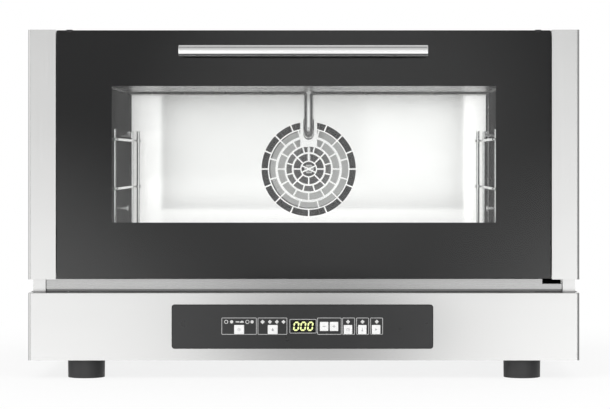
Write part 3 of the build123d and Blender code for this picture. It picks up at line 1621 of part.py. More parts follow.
with BuildPart() as hinge_arms:
    with BuildSketch(side_plane(hinge_arm_inner_x)):
        with Locations((hinge_y, hinge_z)):
            Circle(hinge_eye_radius)
        with Locations((hinge_y, hinge_z + hinge_arm_length / 2)):
            Rectangle(hinge_arm_width, hinge_arm_length)
        with Locations((hinge_y, hinge_z)):
            Circle(hinge_pin_radius + pin_gap, mode=Mode.SUBTRACT)
    extrude(amount=hinge_plate)
    mirror(about=Plane.YZ)

with BuildPart() as hinge_brackets:
    with BuildSketch(side_plane(bracket_inner_x)):
        with Locations((hinge_y, hinge_z)):
            Circle(hinge_eye_radius)
        with Locations(((hinge_y + mouth_y) / 2, hinge_z)):
            Rectangle(mouth_y - hinge_y, 2 * bracket_half_height)
        with Locations((hinge_y, hinge_z)):
            Circle(hinge_pin_radius + pin_gap, mode=Mode.SUBTRACT)
    extrude(amount=hinge_plate)
    block(
        (bracket_inner_x - bracket_foot_width, bracket_outer_x),
        (mouth_y - bracket_foot_thickness, mouth_y),
        (hinge_z - bracket_half_height, hinge_z + bracket_foot_rise),
    )
    mirror(about=Plane.YZ)

with BuildPart() as hinge_pins:
    pin_end_x = hinge_arm_outer_x + slip_gap + pin_ring_thickness
    rod_x(hinge_pin_radius, hinge_y, hinge_z, pin_head_x, pin_end_x)
    rod_x(pin_head_radius, hinge_y, hinge_z, pin_head_x, pin_head_x + pin_head_thickness)
    rod_x(pin_ring_radius, hinge_y, hinge_z, hinge_arm_outer_x + slip_gap, pin_end_x)
    mirror(about=Plane.YZ)

spring_start_x = pin_head_x + pin_head_thickness + spring_wire / 2 + slip_gap
spring_length = spring_turns * spring_pitch
spring_end_x = spring_start_x + spring_length
spring_plane = Plane(origin=(spring_start_x, hinge_y, hinge_z), x_dir=(0, -1, 0), z_dir=(1, 0, 0))

spring_coil = Edge.make_helix(spring_pitch, spring_length, spring_mean_radius)

with BuildPart() as hinge_springs:
    with BuildLine() as spring_path:
        add(spring_plane.location * spring_coil)
    with BuildSketch(Plane(spring_path.line @ 0, z_dir=spring_path.line % 0)):
        Circle(spring_wire / 2)
    sweep(path=spring_path.line)
    rod_z(
        spring_wire / 2,
        spring_start_x,
        hinge_y - spring_mean_radius,
        hinge_z,
        hinge_notch_top - slip_gap,
    )
    rod_y(
        spring_wire / 2,
        spring_end_x,
        hinge_z - spring_mean_radius,
        hinge_y,
        mouth_y - bracket_foot_thickness - slip_gap,
    )
    with Locations(
        (spring_start_x, hinge_y - spring_mean_radius, hinge_z),
        (spring_end_x, hinge_y, hinge_z - spring_mean_radius),
    ):
        Sphere(spring_wire / 2)
    mirror(about=Plane.YZ)

pieces = {
    "feet": feet,
    "base_pan": base_pan,
    "side_panel_left": side_panel_left,
    "side_panel_right": side_panel_right,
    "top_panel": top_panel,
    "rear_panel": rear_panel,
    "rear_hood": rear_hood,
    "casing_screws": casing_screws,
    "inner_chassis": inner_chassis,
    "front_frame": front_frame,
    "drip_gutter": drip_gutter,
    "control_fascia": control_fascia,
    "control_overlay": control_overlay,
    "display_lens": display_lens,
    "display_module": display_module,
    "control_board": control_board,
    "cavity_liner": cavity_liner,
    "cavity_seal": cavity_seal,
    "insulation": insulation,
    "fan_baffle": fan_baffle,
    "baffle_screws": baffle_screws,
    "heating_element": heating_element,
    "fan_impeller": fan_impeller,
    "impeller_nut": impeller_nut,
    "motor_shaft": motor_shaft,
    "motor_mount": motor_mount,
    "fan_motor": fan_motor,
    "water_tube": water_tube,
    "water_valve": water_valve,
    "vent_pipe": vent_pipe,
    "temperature_probe": temperature_probe,
    "lamp_housing": lamp_housing,
    "lamp_lens": lamp_lens,
    "lamp_bulb": lamp_bulb,
    "side_rack_left": side_rack_left,
    "side_rack_right": side_rack_right,
    "liner_studs": liner_studs,
    "cooling_fan_frame": cooling_fan_frame,
    "cooling_fan_rotor": cooling_fan_rotor,
    "power_board": power_board,
    "terminal_block": terminal_block,
    "cable_gland": cable_gland,
    "door_outer_glass": door_outer_glass,
    "door_window_border": door_window_border,
    "door_frame": door_frame,
    "door_inner_glass": door_inner_glass,
    "handle_bar": handle_bar,
    "handle_posts": handle_posts,
    "door_top_clips": door_top_clips,
    "hinge_arms": hinge_arms,
    "hinge_brackets": hinge_brackets,
    "hinge_pins": hinge_pins,
    "hinge_springs": hinge_springs,
}
pieces.update(buttons)
for name, piece in pieces.items():
    piece.part.label = name
    export_step(piece.part, f"parts/{name}.step")
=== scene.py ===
import math

import bmesh
import bpy
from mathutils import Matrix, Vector


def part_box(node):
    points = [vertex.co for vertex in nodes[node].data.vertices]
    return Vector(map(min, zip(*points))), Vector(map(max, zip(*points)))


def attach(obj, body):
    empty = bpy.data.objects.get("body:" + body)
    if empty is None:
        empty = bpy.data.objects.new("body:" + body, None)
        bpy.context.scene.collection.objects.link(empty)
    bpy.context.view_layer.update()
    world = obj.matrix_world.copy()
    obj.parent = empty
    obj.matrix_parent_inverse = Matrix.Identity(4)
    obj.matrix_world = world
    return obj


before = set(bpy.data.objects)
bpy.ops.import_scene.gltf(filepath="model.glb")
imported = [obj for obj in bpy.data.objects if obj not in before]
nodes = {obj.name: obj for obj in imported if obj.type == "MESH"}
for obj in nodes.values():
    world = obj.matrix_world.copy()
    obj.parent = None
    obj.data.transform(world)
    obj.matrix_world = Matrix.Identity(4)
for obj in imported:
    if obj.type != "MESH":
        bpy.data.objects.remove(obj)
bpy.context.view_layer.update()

# Lengths in metres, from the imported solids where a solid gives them
overlay_low, overlay_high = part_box("control_overlay")
lens_low, lens_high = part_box("display_lens")
module_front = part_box("display_module")[0].y
gutter_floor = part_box("drip_gutter")[0].z
fan_low, fan_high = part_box("fan_impeller")

# Prints on the control panel; the groups and signs are placed from the middle of the dark overlay
PRINT_THICKNESS = 0.00006
PRINT_FRONT = overlay_low.y - PRINT_THICKNESS
LINE_WIDTH = 0.0009
GROUP_BELOW = 0.0114
GROUP_ABOVE = 0.0128
GROUP_CORNER = 0.0016
SURROUND_MARGIN = 0.0014
ICON_ABOVE = 0.0068
DIGIT_PLACES = (-0.0108, -0.0010, 0.0092)
DIGIT_BELOW = 0.0002
DIGIT_WIDTH = 0.0082
DIGIT_HEIGHT = 0.0132
DIGIT_STROKE = 0.0021

# Where the painted shade in the drip gutter ends, above the gutter's lowest point
GUTTER_SHADE_HEIGHT = 0.0037
GUTTER_SHADE_EDGE = 0.0004

# Studio; lengths in metres, light levels with 1 for white
WHITE = (1.0, 1.0, 1.0, 1.0)
FLOOR_RADIUS = 4.0
FLOOR_SHADED_WITHIN = 0.45
FLOOR_WHITE_BEYOND = 1.0
FLOOR_WHITE_SHARE = 0.84
CARD_PLACE = (0.020, -0.80, 0.028)
CARD_WIDTH = 0.54
CARD_HEIGHT = 0.24
EYE_LEVEL = 1.0
SHADE_LEVEL = 0.72
METAL_LEVEL = 0.58
METAL_LEAST = 0.05
LAMP_TARGET = (0.0, 0.0, 0.25)
LAMP_SIZE = 1.6

# Camera, as fitted to the photograph
GLASS_FRONT_Y = -0.327
CAMERA_DISTANCE = 3.5
CAMERA_X = 0.058
CAMERA_Z = 0.312
CAMERA_LENS = 145.46
CAMERA_SHIFT = (-0.065, -0.0744)


# Node helpers

def set_input(tree, target, value):
    """Links an input to a socket, or sets it to a plain value."""
    if isinstance(value, bpy.types.NodeSocket):
        tree.links.new(value, target)
    else:
        target.default_value = value


def start_material(name):
    material = bpy.data.materials.new(name)
    material.use_nodes = True
    tree = material.node_tree
    tree.nodes.clear()
    output = tree.nodes.new("ShaderNodeOutputMaterial")
    shader = tree.nodes.new("ShaderNodeBsdfPrincipled")
    tree.links.new(shader.outputs["BSDF"], output.inputs["Surface"])
    return material, tree, shader


def show(tree, surface):
    """Puts a shader in the place of the plain Principled one."""
    output = next(node for node in tree.nodes if node.bl_idname == "ShaderNodeOutputMaterial")
    tree.links.new(surface, output.inputs["Surface"])


def placed_texture(tree, kind, stretch, **settings):
    """A texture node on object coordinates, which are metres, stretched per axis."""
    coordinates = tree.nodes.new("ShaderNodeTexCoord")
    mapping = tree.nodes.new("ShaderNodeMapping")
    mapping.inputs["Scale"].default_value = stretch
    tree.links.new(coordinates.outputs["Object"], mapping.inputs["Vector"])
    texture = tree.nodes.new(kind)
    for key, value in settings.items():
        texture.inputs[key].default_value = value
    tree.links.new(mapping.outputs["Vector"], texture.inputs["Vector"])
    return texture


def noise(tree, stretch, detail, roughness=0.5):
    """A noise's values; stretch is its features per metre, per axis or one for all three."""
    per_axis = stretch if isinstance(stretch, tuple) else (stretch, stretch, stretch)
    settings = {"Scale": 1.0, "Detail": detail, "Roughness": roughness}
    return placed_texture(tree, "ShaderNodeTexNoise", per_axis, **settings).outputs["Fac"]


def ranged(tree, source, low, high, low_in=0.3, high_in=0.7, smooth=False):
    """Maps low_in to high_in, by default the middle values of a noise, to low to high."""
    node = tree.nodes.new("ShaderNodeMapRange")
    if smooth:
        node.interpolation_type = "SMOOTHSTEP"
    node.inputs["From Min"].default_value = low_in
    node.inputs["From Max"].default_value = high_in
    node.inputs["To Min"].default_value = low
    node.inputs["To Max"].default_value = high
    tree.links.new(source, node.inputs["Value"])
    return node.outputs["Result"]


def combined(tree, operation, first, second=0.0):
    node = tree.nodes.new("ShaderNodeMath")
    node.operation = operation
    set_input(tree, node.inputs[0], first)
    set_input(tree, node.inputs[1], second)
    return node.outputs["Value"]


def length_of(tree, vector):
    node = tree.nodes.new("ShaderNodeVectorMath")
    node.operation = "LENGTH"
    tree.links.new(vector, node.inputs[0])
    return node.outputs["Value"]


def split_axes(tree, vector):
    node = tree.nodes.new("ShaderNodeSeparateXYZ")
    tree.links.new(vector, node.inputs["Vector"])
    return node.outputs


def mixed_colour(tree, factor, dark, light, blend="MIX"):
    """Colour between dark and light by factor; each is a plain value or a socket."""
    node = tree.nodes.new("ShaderNodeMix")
    node.data_type = "RGBA"
    node.blend_type = blend
    inputs = {socket.identifier: socket for socket in node.inputs}
    set_input(tree, inputs["Factor_Float"], factor)
    for identifier, colour in (("A_Color", dark), ("B_Color", light)):
        plain = not isinstance(colour, bpy.types.NodeSocket)
        set_input(tree, inputs[identifier], (*colour, 1.0) if plain else colour)
    return next(socket for socket in node.outputs if socket.identifier == "Result_Color")


def mixed_shader(tree, factor, first, second):
    node = tree.nodes.new("ShaderNodeMixShader")
    tree.links.new(factor, node.inputs["Fac"])
    tree.links.new(first, node.inputs[1])
    tree.links.new(second, node.inputs[2])
    return node.outputs["Shader"]


def add_bump(tree, shader, height, strength, distance):
    bump = tree.nodes.new("ShaderNodeBump")
    bump.inputs["Strength"].default_value = strength
    bump.inputs["Distance"].default_value = distance
    tree.links.new(height, bump.inputs["Height"])
    tree.links.new(bump.outputs["Normal"], shader.inputs["Normal"])


def shade(colour, share):
    return tuple(min(1.0, channel * share) for channel in colour)


def drifting(tree, factor, colour, spread):
    """A colour that drifts by the share spread to both sides of itself."""
    return mixed_colour(tree, factor, shade(colour, 1.0 - spread), shade(colour, 1.0 + spread))


# Materials

def brushed_metal(name, colour, roughness, grain, streak, fine, bump, cloud=0.04):
    """Rolled sheet or turned metal with fine grain lines along one axis and faint larger clouds."""
    material, tree, shader = start_material(name)
    along = 2.5
    stretch = {"X": (along, fine, fine), "Y": (fine, along, fine), "Z": (fine, fine, along)}[grain]
    lines = noise(tree, stretch, 3.0, 0.6)
    line_colour = drifting(tree, ranged(tree, lines, 0.0, 1.0), colour, streak)
    cloud_share = ranged(tree, noise(tree, 7.0, 4.0, 0.55), 0.0, 1.0)
    cloud_colour = drifting(tree, cloud_share, colour, cloud)
    set_input(tree, shader.inputs["Base Color"], mixed_colour(tree, 0.5, line_colour, cloud_colour))
    shader.inputs["Metallic"].default_value = 1.0
    gloss = ranged(tree, lines, roughness * 0.95, roughness * 1.06)
    set_input(tree, shader.inputs["Roughness"], gloss)
    add_bump(tree, shader, lines, bump, 0.00012)
    return material


def moulded(
    name, colour, roughness, grain=1400.0, bump=0.15, metallic=0.0, spread=0.10, clouds=18.0
):
    """Moulded plastic, rubber, paint or cast surface: fine grain, slight drift and uneven gloss."""
    material, tree, shader = start_material(name)
    wide = noise(tree, clouds, 4.0)
    drift = drifting(tree, ranged(tree, wide, 0.0, 1.0), colour, spread)
    set_input(tree, shader.inputs["Base Color"], drift)
    shader.inputs["Metallic"].default_value = metallic
    gloss = ranged(tree, wide, roughness * 0.9, roughness * 1.12)
    set_input(tree, shader.inputs["Roughness"], gloss)
    add_bump(tree, shader, noise(tree, grain, 2.0), bump, 0.00008)
    return material


def clear_glass(name, colour, haze=0.004, mirror=1.5):
    """Clear glass with a breath of haze, open to shadow rays; mirror is its index of refraction."""
    material, tree, shader = start_material(name)
    smear = noise(tree, (9.0, 9.0, 16.0), 5.0, 0.6)
    tint = mixed_colour(tree, ranged(tree, smear, 0.0, 1.0), shade(colour, 0.985), colour)
    set_input(tree, shader.inputs["Base Color"], tint)
    shader.inputs["IOR"].default_value = mirror
    shader.inputs["Transmission Weight"].default_value = 1.0
    set_input(tree, shader.inputs["Roughness"], ranged(tree, smear, 0.0, haze))
    path = tree.nodes.new("ShaderNodeLightPath")
    clear = tree.nodes.new("ShaderNodeBsdfTransparent")
    clear.inputs["Color"].default_value = (*shade(colour, 0.95), 1.0)
    shadow = path.outputs["Is Shadow Ray"]
    show(tree, mixed_shader(tree, shadow, shader.outputs["BSDF"], clear.outputs["BSDF"]))
    return material


def glowing(name, colour, strength):
    """Lit segments with slightly uneven light."""
    material, tree, shader = start_material(name)
    share = ranged(tree, noise(tree, 300.0, 1.0), 0.0, 1.0)
    light = mixed_colour(tree, share, shade(colour, 0.92), colour)
    set_input(tree, shader.inputs["Base Color"], light)
    set_input(tree, shader.inputs["Emission Color"], light)
    shader.inputs["Emission Strength"].default_value = strength
    shader.inputs["Roughness"].default_value = 0.5
    return material


def cavity_metal():
    """Polished sheet inside the oven: bright ceiling, floor and rear; the side walls get painted
    shade, a near-black matte copy of the sheet.
    """
    material, tree, shader = start_material("cavity_steel")
    clouds = noise(tree, (14.0, 9.0, 14.0), 5.0, 0.6)
    cloud_share = ranged(tree, clouds, 0.0, 1.0)
    bright = mixed_colour(tree, cloud_share, (0.60, 0.598, 0.59), (0.66, 0.658, 0.65))
    set_input(tree, shader.inputs["Base Color"], bright)
    shader.inputs["Metallic"].default_value = 1.0
    shader.inputs["Specular Tint"].default_value = (0.5, 0.5, 0.5, 1.0)
    set_input(tree, shader.inputs["Roughness"], ranged(tree, clouds, 0.22, 0.32))
    add_bump(tree, shader, noise(tree, (700.0, 8.0, 700.0), 3.0), 0.08, 0.0001)

    # Painted shade on the side walls: a near-black matte sheet without reflection, in place of the
    # polished steel
    side_wall_shade = tree.nodes.new("ShaderNodeBsdfPrincipled")
    side_wall_shade_colour = mixed_colour(tree, cloud_share, (0.0085, 0.0084, 0.0082), (0.0145, 0.0144, 0.0141))
    set_input(tree, side_wall_shade.inputs["Base Color"], side_wall_shade_colour)
    set_input(tree, side_wall_shade.inputs["Roughness"], ranged(tree, clouds, 0.5, 0.62))
    side_wall_shade.inputs["Specular IOR Level"].default_value = 0.0

    # Where the painted shade goes: faces whose normals point sideways
    geometry = tree.nodes.new("ShaderNodeNewGeometry")
    sideways = combined(tree, "ABSOLUTE", split_axes(tree, geometry.outputs["Normal"])["X"])
    wall = ranged(tree, sideways, 0.0, 1.0, 0.35, 0.75)
    show(tree, mixed_shader(tree, wall, shader.outputs["BSDF"], side_wall_shade.outputs["BSDF"]))
    return material


def mineral_wool():
    material, tree, shader = start_material("insulation_wool")
    fibres = noise(tree, (220.0, 700.0, 220.0), 6.0, 0.7)
    wool = mixed_colour(tree, ranged(tree, fibres, 0.0, 1.0), (0.40, 0.34, 0.22), (0.66, 0.60, 0.44))
    set_input(tree, shader.inputs["Base Color"], wool)
    shader.inputs["Roughness"].default_value = 0.95
    add_bump(tree, shader, fibres, 0.8, 0.0012)
    return material


def heat_stained(name, colour, stain):
    """Metal that has been hot: straw and blue patches on a dull sheath."""
    material, tree, shader = start_material(name)
    stains = noise(tree, 22.0, 5.0, 0.6)
    share = ranged(tree, stains, 0.0, 1.0, 0.35, 0.65)
    set_input(tree, shader.inputs["Base Color"], mixed_colour(tree, share, colour, stain))
    shader.inputs["Metallic"].default_value = 0.9
    set_input(tree, shader.inputs["Roughness"], ranged(tree, stains, 0.38, 0.6))
    add_bump(tree, shader, stains, 0.2, 0.0002)
    return material


def printed_circuit():
    """Green solder mask with faint copper runs under it."""
    material, tree, shader = start_material("circuit_board")
    runs = placed_texture(tree, "ShaderNodeTexBrick", (60.0, 60.0, 60.0), Scale=4.0)
    runs.inputs["Color1"].default_value = (0.012, 0.085, 0.035, 1.0)
    runs.inputs["Color2"].default_value = (0.016, 0.11, 0.045, 1.0)
    runs.inputs["Mortar"].default_value = (0.03, 0.17, 0.07, 1.0)
    runs.inputs["Mortar Size"].default_value = 0.03
    set_input(tree, shader.inputs["Base Color"], runs.outputs["Color"])
    shader.inputs["Roughness"].default_value = 0.35
    add_bump(tree, shader, noise(tree, 500.0, 2.0), 0.2, 0.0001)
    return material


def recess_with_painted_shade(step_z):
    """Brushed sheet in the recess under the door, in painted shade: darker than the casing, and darker
    still below the height step_z.
    """
    material, tree, shader = start_material("recess_steel_painted_shade")
    lines = noise(tree, (6.0, 1300.0, 1300.0), 3.0)
    share = ranged(tree, lines, 0.0, 1.0)
    # Painted shade: the lower colour is the shade under the gutter's step, the upper one the dimmed
    # recess
    low = mixed_colour(tree, share, (0.19, 0.19, 0.189), (0.22, 0.22, 0.219))
    high = mixed_colour(tree, share, (0.42, 0.42, 0.417), (0.455, 0.455, 0.452))
    coordinates = tree.nodes.new("ShaderNodeTexCoord")
    height = split_axes(tree, coordinates.outputs["Object"])["Z"]
    lit = ranged(tree, height, 0.0, 1.0, step_z - GUTTER_SHADE_EDGE, step_z + GUTTER_SHADE_EDGE)
    set_input(tree, shader.inputs["Base Color"], mixed_colour(tree, lit, low, high))
    shader.inputs["Metallic"].default_value = 1.0
    set_input(tree, shader.inputs["Roughness"], ranged(tree, lines, 0.24, 0.30))
    add_bump(tree, shader, lines, 0.05, 0.00012)
    return material


def wheel_metal(centre_z):
    """Fan wheel: painted shade darkens the rim and hub; the pressed disc between them keeps bright
    steel, with faint wear clouds.
    """
    material, tree, shader = start_material("impeller_steel")
    coordinates = tree.nodes.new("ShaderNodeTexCoord")
    flat = tree.nodes.new("ShaderNodeMapping")
    flat.inputs["Location"].default_value = (0.0, 0.0, -centre_z)
    flat.inputs["Scale"].default_value = (1.0, 0.0, 1.0)
    tree.links.new(coordinates.outputs["Object"], flat.inputs["Vector"])
    radius = length_of(tree, flat.outputs["Vector"])

    # Each pair is a share of 100 mm from the axis and the painted lightness there: painted shade on
    # the hub and rim, a bright disc between
    steps = (
        (0.22, 0.10),
        (0.25, 0.16),
        (0.36, 0.22),
        (0.39, 0.66),
        (0.625, 0.66),
        (0.65, 0.035),
        (1.0, 0.03),
    )
    painted_shade_ramp = tree.nodes.new("ShaderNodeValToRGB")
    painted_shade_ramp.color_ramp.interpolation = "EASE"
    elements = painted_shade_ramp.color_ramp.elements
    for index, (place, level) in enumerate(steps):
        step = elements[index] if index < 2 else elements.new(place)
        step.position = place
        step.color = (level, level, level * 0.985, 1.0)
    set_input(tree, painted_shade_ramp.inputs["Fac"], ranged(tree, radius, 0.0, 1.0, 0.0, 0.1))

    # Faint wear clouds, multiplied over the painted shade
    clouds = noise(tree, 30.0, 4.0)
    wear = mixed_colour(tree, ranged(tree, clouds, 0.0, 1.0), (0.84, 0.84, 0.84), (1.0, 1.0, 1.0))
    painted_shade_and_wear = mixed_colour(tree, 1.0, painted_shade_ramp.outputs["Color"], wear, "MULTIPLY")
    set_input(tree, shader.inputs["Base Color"], painted_shade_and_wear)
    shader.inputs["Metallic"].default_value = 1.0
    set_input(tree, shader.inputs["Roughness"], ranged(tree, clouds, 0.26, 0.36))
    add_bump(tree, shader, clouds, 0.1, 0.0002)
    return material


steel = (0.64, 0.64, 0.635)
upright_steel = brushed_metal("casing_steel_upright", steel, 0.25, "Z", 0.040, 700.0, 0.01)
level_steel = brushed_metal("casing_steel_level", steel, 0.25, "X", 0.030, 900.0, 0.01, 0.02)
finishes = {
    "chassis_steel": moulded("chassis_steel", (0.50, 0.52, 0.53), 0.42, 220.0, 0.1, 0.9, 0.14, 60.0),
    "cavity_steel": cavity_metal(),
    "recess_steel_painted_shade": recess_with_painted_shade(gutter_floor + GUTTER_SHADE_HEIGHT),
    "baffle_steel": brushed_metal(
        "baffle_steel", (0.90, 0.895, 0.885), 0.20, "X", 0.03, 900.0, 0.05, 0.02
    ),
    "wire_steel": brushed_metal("wire_steel", (0.86, 0.86, 0.855), 0.24, "Y", 0.04, 500.0, 0.05),
    "handle_steel": brushed_metal("handle_steel", (0.92, 0.92, 0.915), 0.13, "X", 0.03, 1300.0, 0.04),
    "fastener_steel": brushed_metal("fastener_steel", (0.72, 0.72, 0.71), 0.24, "Y", 0.06, 900.0, 0.1),
    "tube_steel": brushed_metal("tube_steel", (0.78, 0.78, 0.775), 0.13, "Z", 0.04, 900.0, 0.05),
    "spring_steel": moulded("spring_steel", (0.24, 0.23, 0.21), 0.35, 900.0, 0.1, 1.0, 0.12),
    "heater_sheath": heat_stained("heater_sheath", (0.22, 0.19, 0.16), (0.30, 0.29, 0.34)),
    "impeller_steel": wheel_metal((fan_low.z + fan_high.z) / 2),
    "motor_paint": moulded("motor_paint", (0.022, 0.022, 0.024), 0.42),
    "insulation_wool": mineral_wool(),
    "foot_rubber": moulded("foot_rubber", (0.030, 0.030, 0.031), 0.5, 900.0, 0.15),
    "seal_rubber": moulded("seal_rubber", (0.02, 0.02, 0.02), 0.55, 900.0, 0.2),
    "overlay_film": moulded("overlay_film", (0.021, 0.0215, 0.022), 0.30, 2600.0, 0.04, 0.0, 0.04),
    "button_plastic": moulded("button_plastic", (0.93, 0.93, 0.925), 0.38, 2400.0, 0.05, 0.0, 0.02),
    "display_plastic": moulded("display_plastic", (0.006, 0.006, 0.007), 0.5),
    "circuit_board": printed_circuit(),
    "terminal_plastic": moulded("terminal_plastic", (0.05, 0.05, 0.055), 0.5),
    "gland_plastic": moulded("gland_plastic", (0.018, 0.018, 0.019), 0.5),
    "cooling_fan_plastic": moulded("cooling_fan_plastic", (0.016, 0.016, 0.017), 0.48),
    "valve_brass": brushed_metal("valve_brass", (0.68, 0.50, 0.22), 0.28, "Y", 0.06, 800.0, 0.1),
    "lamp_steel": brushed_metal("lamp_steel", (0.66, 0.66, 0.65), 0.22, "Y", 0.05, 800.0, 0.08),
    "lamp_glass": clear_glass("lamp_glass", (0.97, 0.98, 0.97), 0.03),
    "display_tint": clear_glass("display_tint", (0.30, 0.31, 0.30), 0.01),
    "outer_glass": clear_glass("outer_glass", (0.985, 0.99, 0.988)),
    "inner_glass": clear_glass("inner_glass", (0.985, 0.99, 0.988), 0.004, 1.22),
    "window_print": moulded("window_print", (0.0135, 0.0135, 0.0145), 0.5, 2600.0, 0.01, 0.0, 0.06),
    "door_paint": moulded("door_paint", (0.014, 0.014, 0.015), 0.5),
    "clip_plastic": moulded("clip_plastic", (0.012, 0.012, 0.013), 0.45),
}

finish_nodes = {
    "foot_rubber": ("feet",),
    "chassis_steel": ("base_pan", "inner_chassis", "motor_mount", "hinge_brackets", "hinge_arms"),
    "recess_steel_painted_shade": ("drip_gutter",),
    "cavity_steel": ("cavity_liner",),
    "seal_rubber": ("cavity_seal",),
    "insulation_wool": ("insulation",),
    "baffle_steel": ("fan_baffle",),
    "fastener_steel": ("baffle_screws", "casing_screws", "hinge_pins", "impeller_nut", "motor_shaft"),
    "spring_steel": ("hinge_springs",),
    "heater_sheath": ("heating_element",),
    "impeller_steel": ("fan_impeller",),
    "motor_paint": ("fan_motor",),
    "tube_steel": ("water_tube", "vent_pipe", "temperature_probe"),
    "valve_brass": ("water_valve",),
    "lamp_steel": ("lamp_housing",),
    "lamp_glass": ("lamp_lens", "lamp_bulb"),
    "wire_steel": ("side_rack_left", "side_rack_right", "liner_studs"),
    "cooling_fan_plastic": ("cooling_fan_frame", "cooling_fan_rotor"),
    "circuit_board": ("power_board", "control_board"),
    "terminal_plastic": ("terminal_block",),
    "gland_plastic": ("cable_gland",),
    "outer_glass": ("door_outer_glass",),
    "inner_glass": ("door_inner_glass",),
    "window_print": ("door_window_border",),
    "door_paint": ("door_frame",),
    "handle_steel": ("handle_bar", "handle_posts"),
    "clip_plastic": ("door_top_clips",),
    "overlay_film": ("control_overlay",),
    "display_tint": ("display_lens",),
    "display_plastic": ("display_module",),
}
node_finishes = {node: finish for finish, group in finish_nodes.items() for node in group}

for name, node in nodes.items():
    if name in node_finishes:
        chosen = finishes[node_finishes[name]]
    elif name.endswith("_button"):
        chosen = finishes["button_plastic"]
    elif name.startswith("side_panel_"):
        chosen = upright_steel
    else:
        chosen = level_steel
    if not node.material_slots:
        node.data.materials.append(chosen)
    for material_slot in node.material_slots:
        material_slot.material = chosen


# Printed and lit pieces on the control panel

def add_object(name, data):
    added = bpy.data.objects.new(name, data)
    bpy.context.scene.collection.objects.link(added)
    return added


def extruded_ring(shape, outer, inner, front_y, back_y):
    """A flat ring between two loops with the same count of (x, z) corners."""
    front_outer, front_inner, back_outer, back_inner = (
        [shape.verts.new((x, y, z)) for x, z in loop]
        for y in (front_y, back_y)
        for loop in (outer, inner)
    )
    for i in range(len(outer)):
        j = (i + 1) % len(outer)
        shape.faces.new((front_outer[i], front_outer[j], front_inner[j], front_inner[i]))
        shape.faces.new((back_outer[j], back_outer[i], back_inner[i], back_inner[j]))
        shape.faces.new((front_outer[j], front_outer[i], back_outer[i], back_outer[j]))
        shape.faces.new((front_inner[i], front_inner[j], back_inner[j], back_inner[i]))


def extruded_sheet(shape, outline, front_y, back_y):
    front = [shape.verts.new((x, front_y, z)) for x, z in outline]
    back = [shape.verts.new((x, back_y, z)) for x, z in outline]
    shape.faces.new(front)
    shape.faces.new(list(reversed(back)))
    for i in range(len(outline)):
        j = (i + 1) % len(outline)
        shape.faces.new((front[j], front[i], back[i], back[j]))


def flat_piece(name, outlines, front_y, material, body):
    """A thin raised print. An outline is a list of (x, z) corners, or two such lists for a ring."""
    mesh = bpy.data.meshes.new(name)
    shape = bmesh.new()
    back_y = front_y + PRINT_THICKNESS
    for outline in outlines:
        if isinstance(outline, tuple):
            extruded_ring(shape, *outline, front_y, back_y)
        else:
            extruded_sheet(shape, outline, front_y, back_y)
    bmesh.ops.recalc_face_normals(shape, faces=shape.faces)
    shape.to_mesh(mesh)
    shape.free()
    piece = add_object(name, mesh)
    piece.data.materials.append(material)
    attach(piece, body)


def circle(x, z, radius, count=28, start=0.0, sweep=2 * math.pi, close=True):
    """Corners of a circle round (x, z), or with close False of an arc from end to end."""
    steps = count if close else count - 1
    angles = [start + sweep * i / steps for i in range(count)]
    return [(x + radius * math.cos(angle), z + radius * math.sin(angle)) for angle in angles]


def rounded(x, z, width, height, corner):
    """Rounded rectangle round (x, z), anticlockwise."""
    count = 6
    points = []
    for turn, (sx, sz) in enumerate(((1, 1), (-1, 1), (-1, -1), (1, -1))):
        cx = x + sx * (width / 2 - corner)
        cz = z + sz * (height / 2 - corner)
        for i in range(count + 1):
            angle = (turn + i / count) * math.pi / 2
            points.append((cx + corner * math.cos(angle), cz + corner * math.sin(angle)))
    return points


def outline_ring(x, z, width, height, corner):
    inner_width = width - 2 * LINE_WIDTH
    inner_height = height - 2 * LINE_WIDTH
    return (
        rounded(x, z, width, height, corner),
        rounded(x, z, inner_width, inner_height, corner - LINE_WIDTH),
    )


def ring(x, z, radius, line):
    return (circle(x, z, radius), circle(x, z, radius - line))


def diamond(x, z, radius):
    return [(x + radius, z), (x, z + radius), (x - radius, z), (x, z - radius)]


def bar(x, z, width, height):
    return [
        (x - width / 2, z - height / 2),
        (x + width / 2, z - height / 2),
        (x + width / 2, z + height / 2),
        (x - width / 2, z + height / 2),
    ]


line_print = moulded("group_line_print", (0.46, 0.46, 0.46), 0.45, 2600.0, 0.03, 0.0, 0.05)
white_print = moulded("white_print", (0.72, 0.72, 0.71), 0.45, 2600.0, 0.05, 0.0, 0.04)
grey_print = moulded("grey_print", (0.42, 0.42, 0.425), 0.5, 2600.0, 0.03, 0.0, 0.06)

# Fine outlines round the groups of keys: left end, right end, in millimetres
group_spans = (
    (-117.0, -67.0),
    (-65.6, -23.6),
    (19.0, 53.6),
    (54.6, 72.6),
    (74.4, 92.6),
    (94.4, 112.4),
)
overlay_z = (overlay_low.z + overlay_high.z) / 2
group_low = overlay_z - GROUP_BELOW
group_high = overlay_z + GROUP_ABOVE
group_z = (group_low + group_high) / 2
group_height = group_high - group_low
group_outlines = [
    outline_ring((left + right) / 2000, group_z, (right - left) / 1000, group_height, GROUP_CORNER)
    for left, right in group_spans
]
flat_piece("group_outlines", group_outlines, PRINT_FRONT, line_print, "body")

# Frame round the display
display_x = (lens_low.x + lens_high.x) / 2
display_z = (lens_low.z + lens_high.z) / 2
display_frame = outline_ring(
    display_x,
    display_z,
    lens_high.x - lens_low.x + 2 * SURROUND_MARGIN,
    lens_high.z - lens_low.z + 2 * SURROUND_MARGIN,
    SURROUND_MARGIN,
)
flat_piece("display_surround", [display_frame], PRINT_FRONT, line_print, "body")

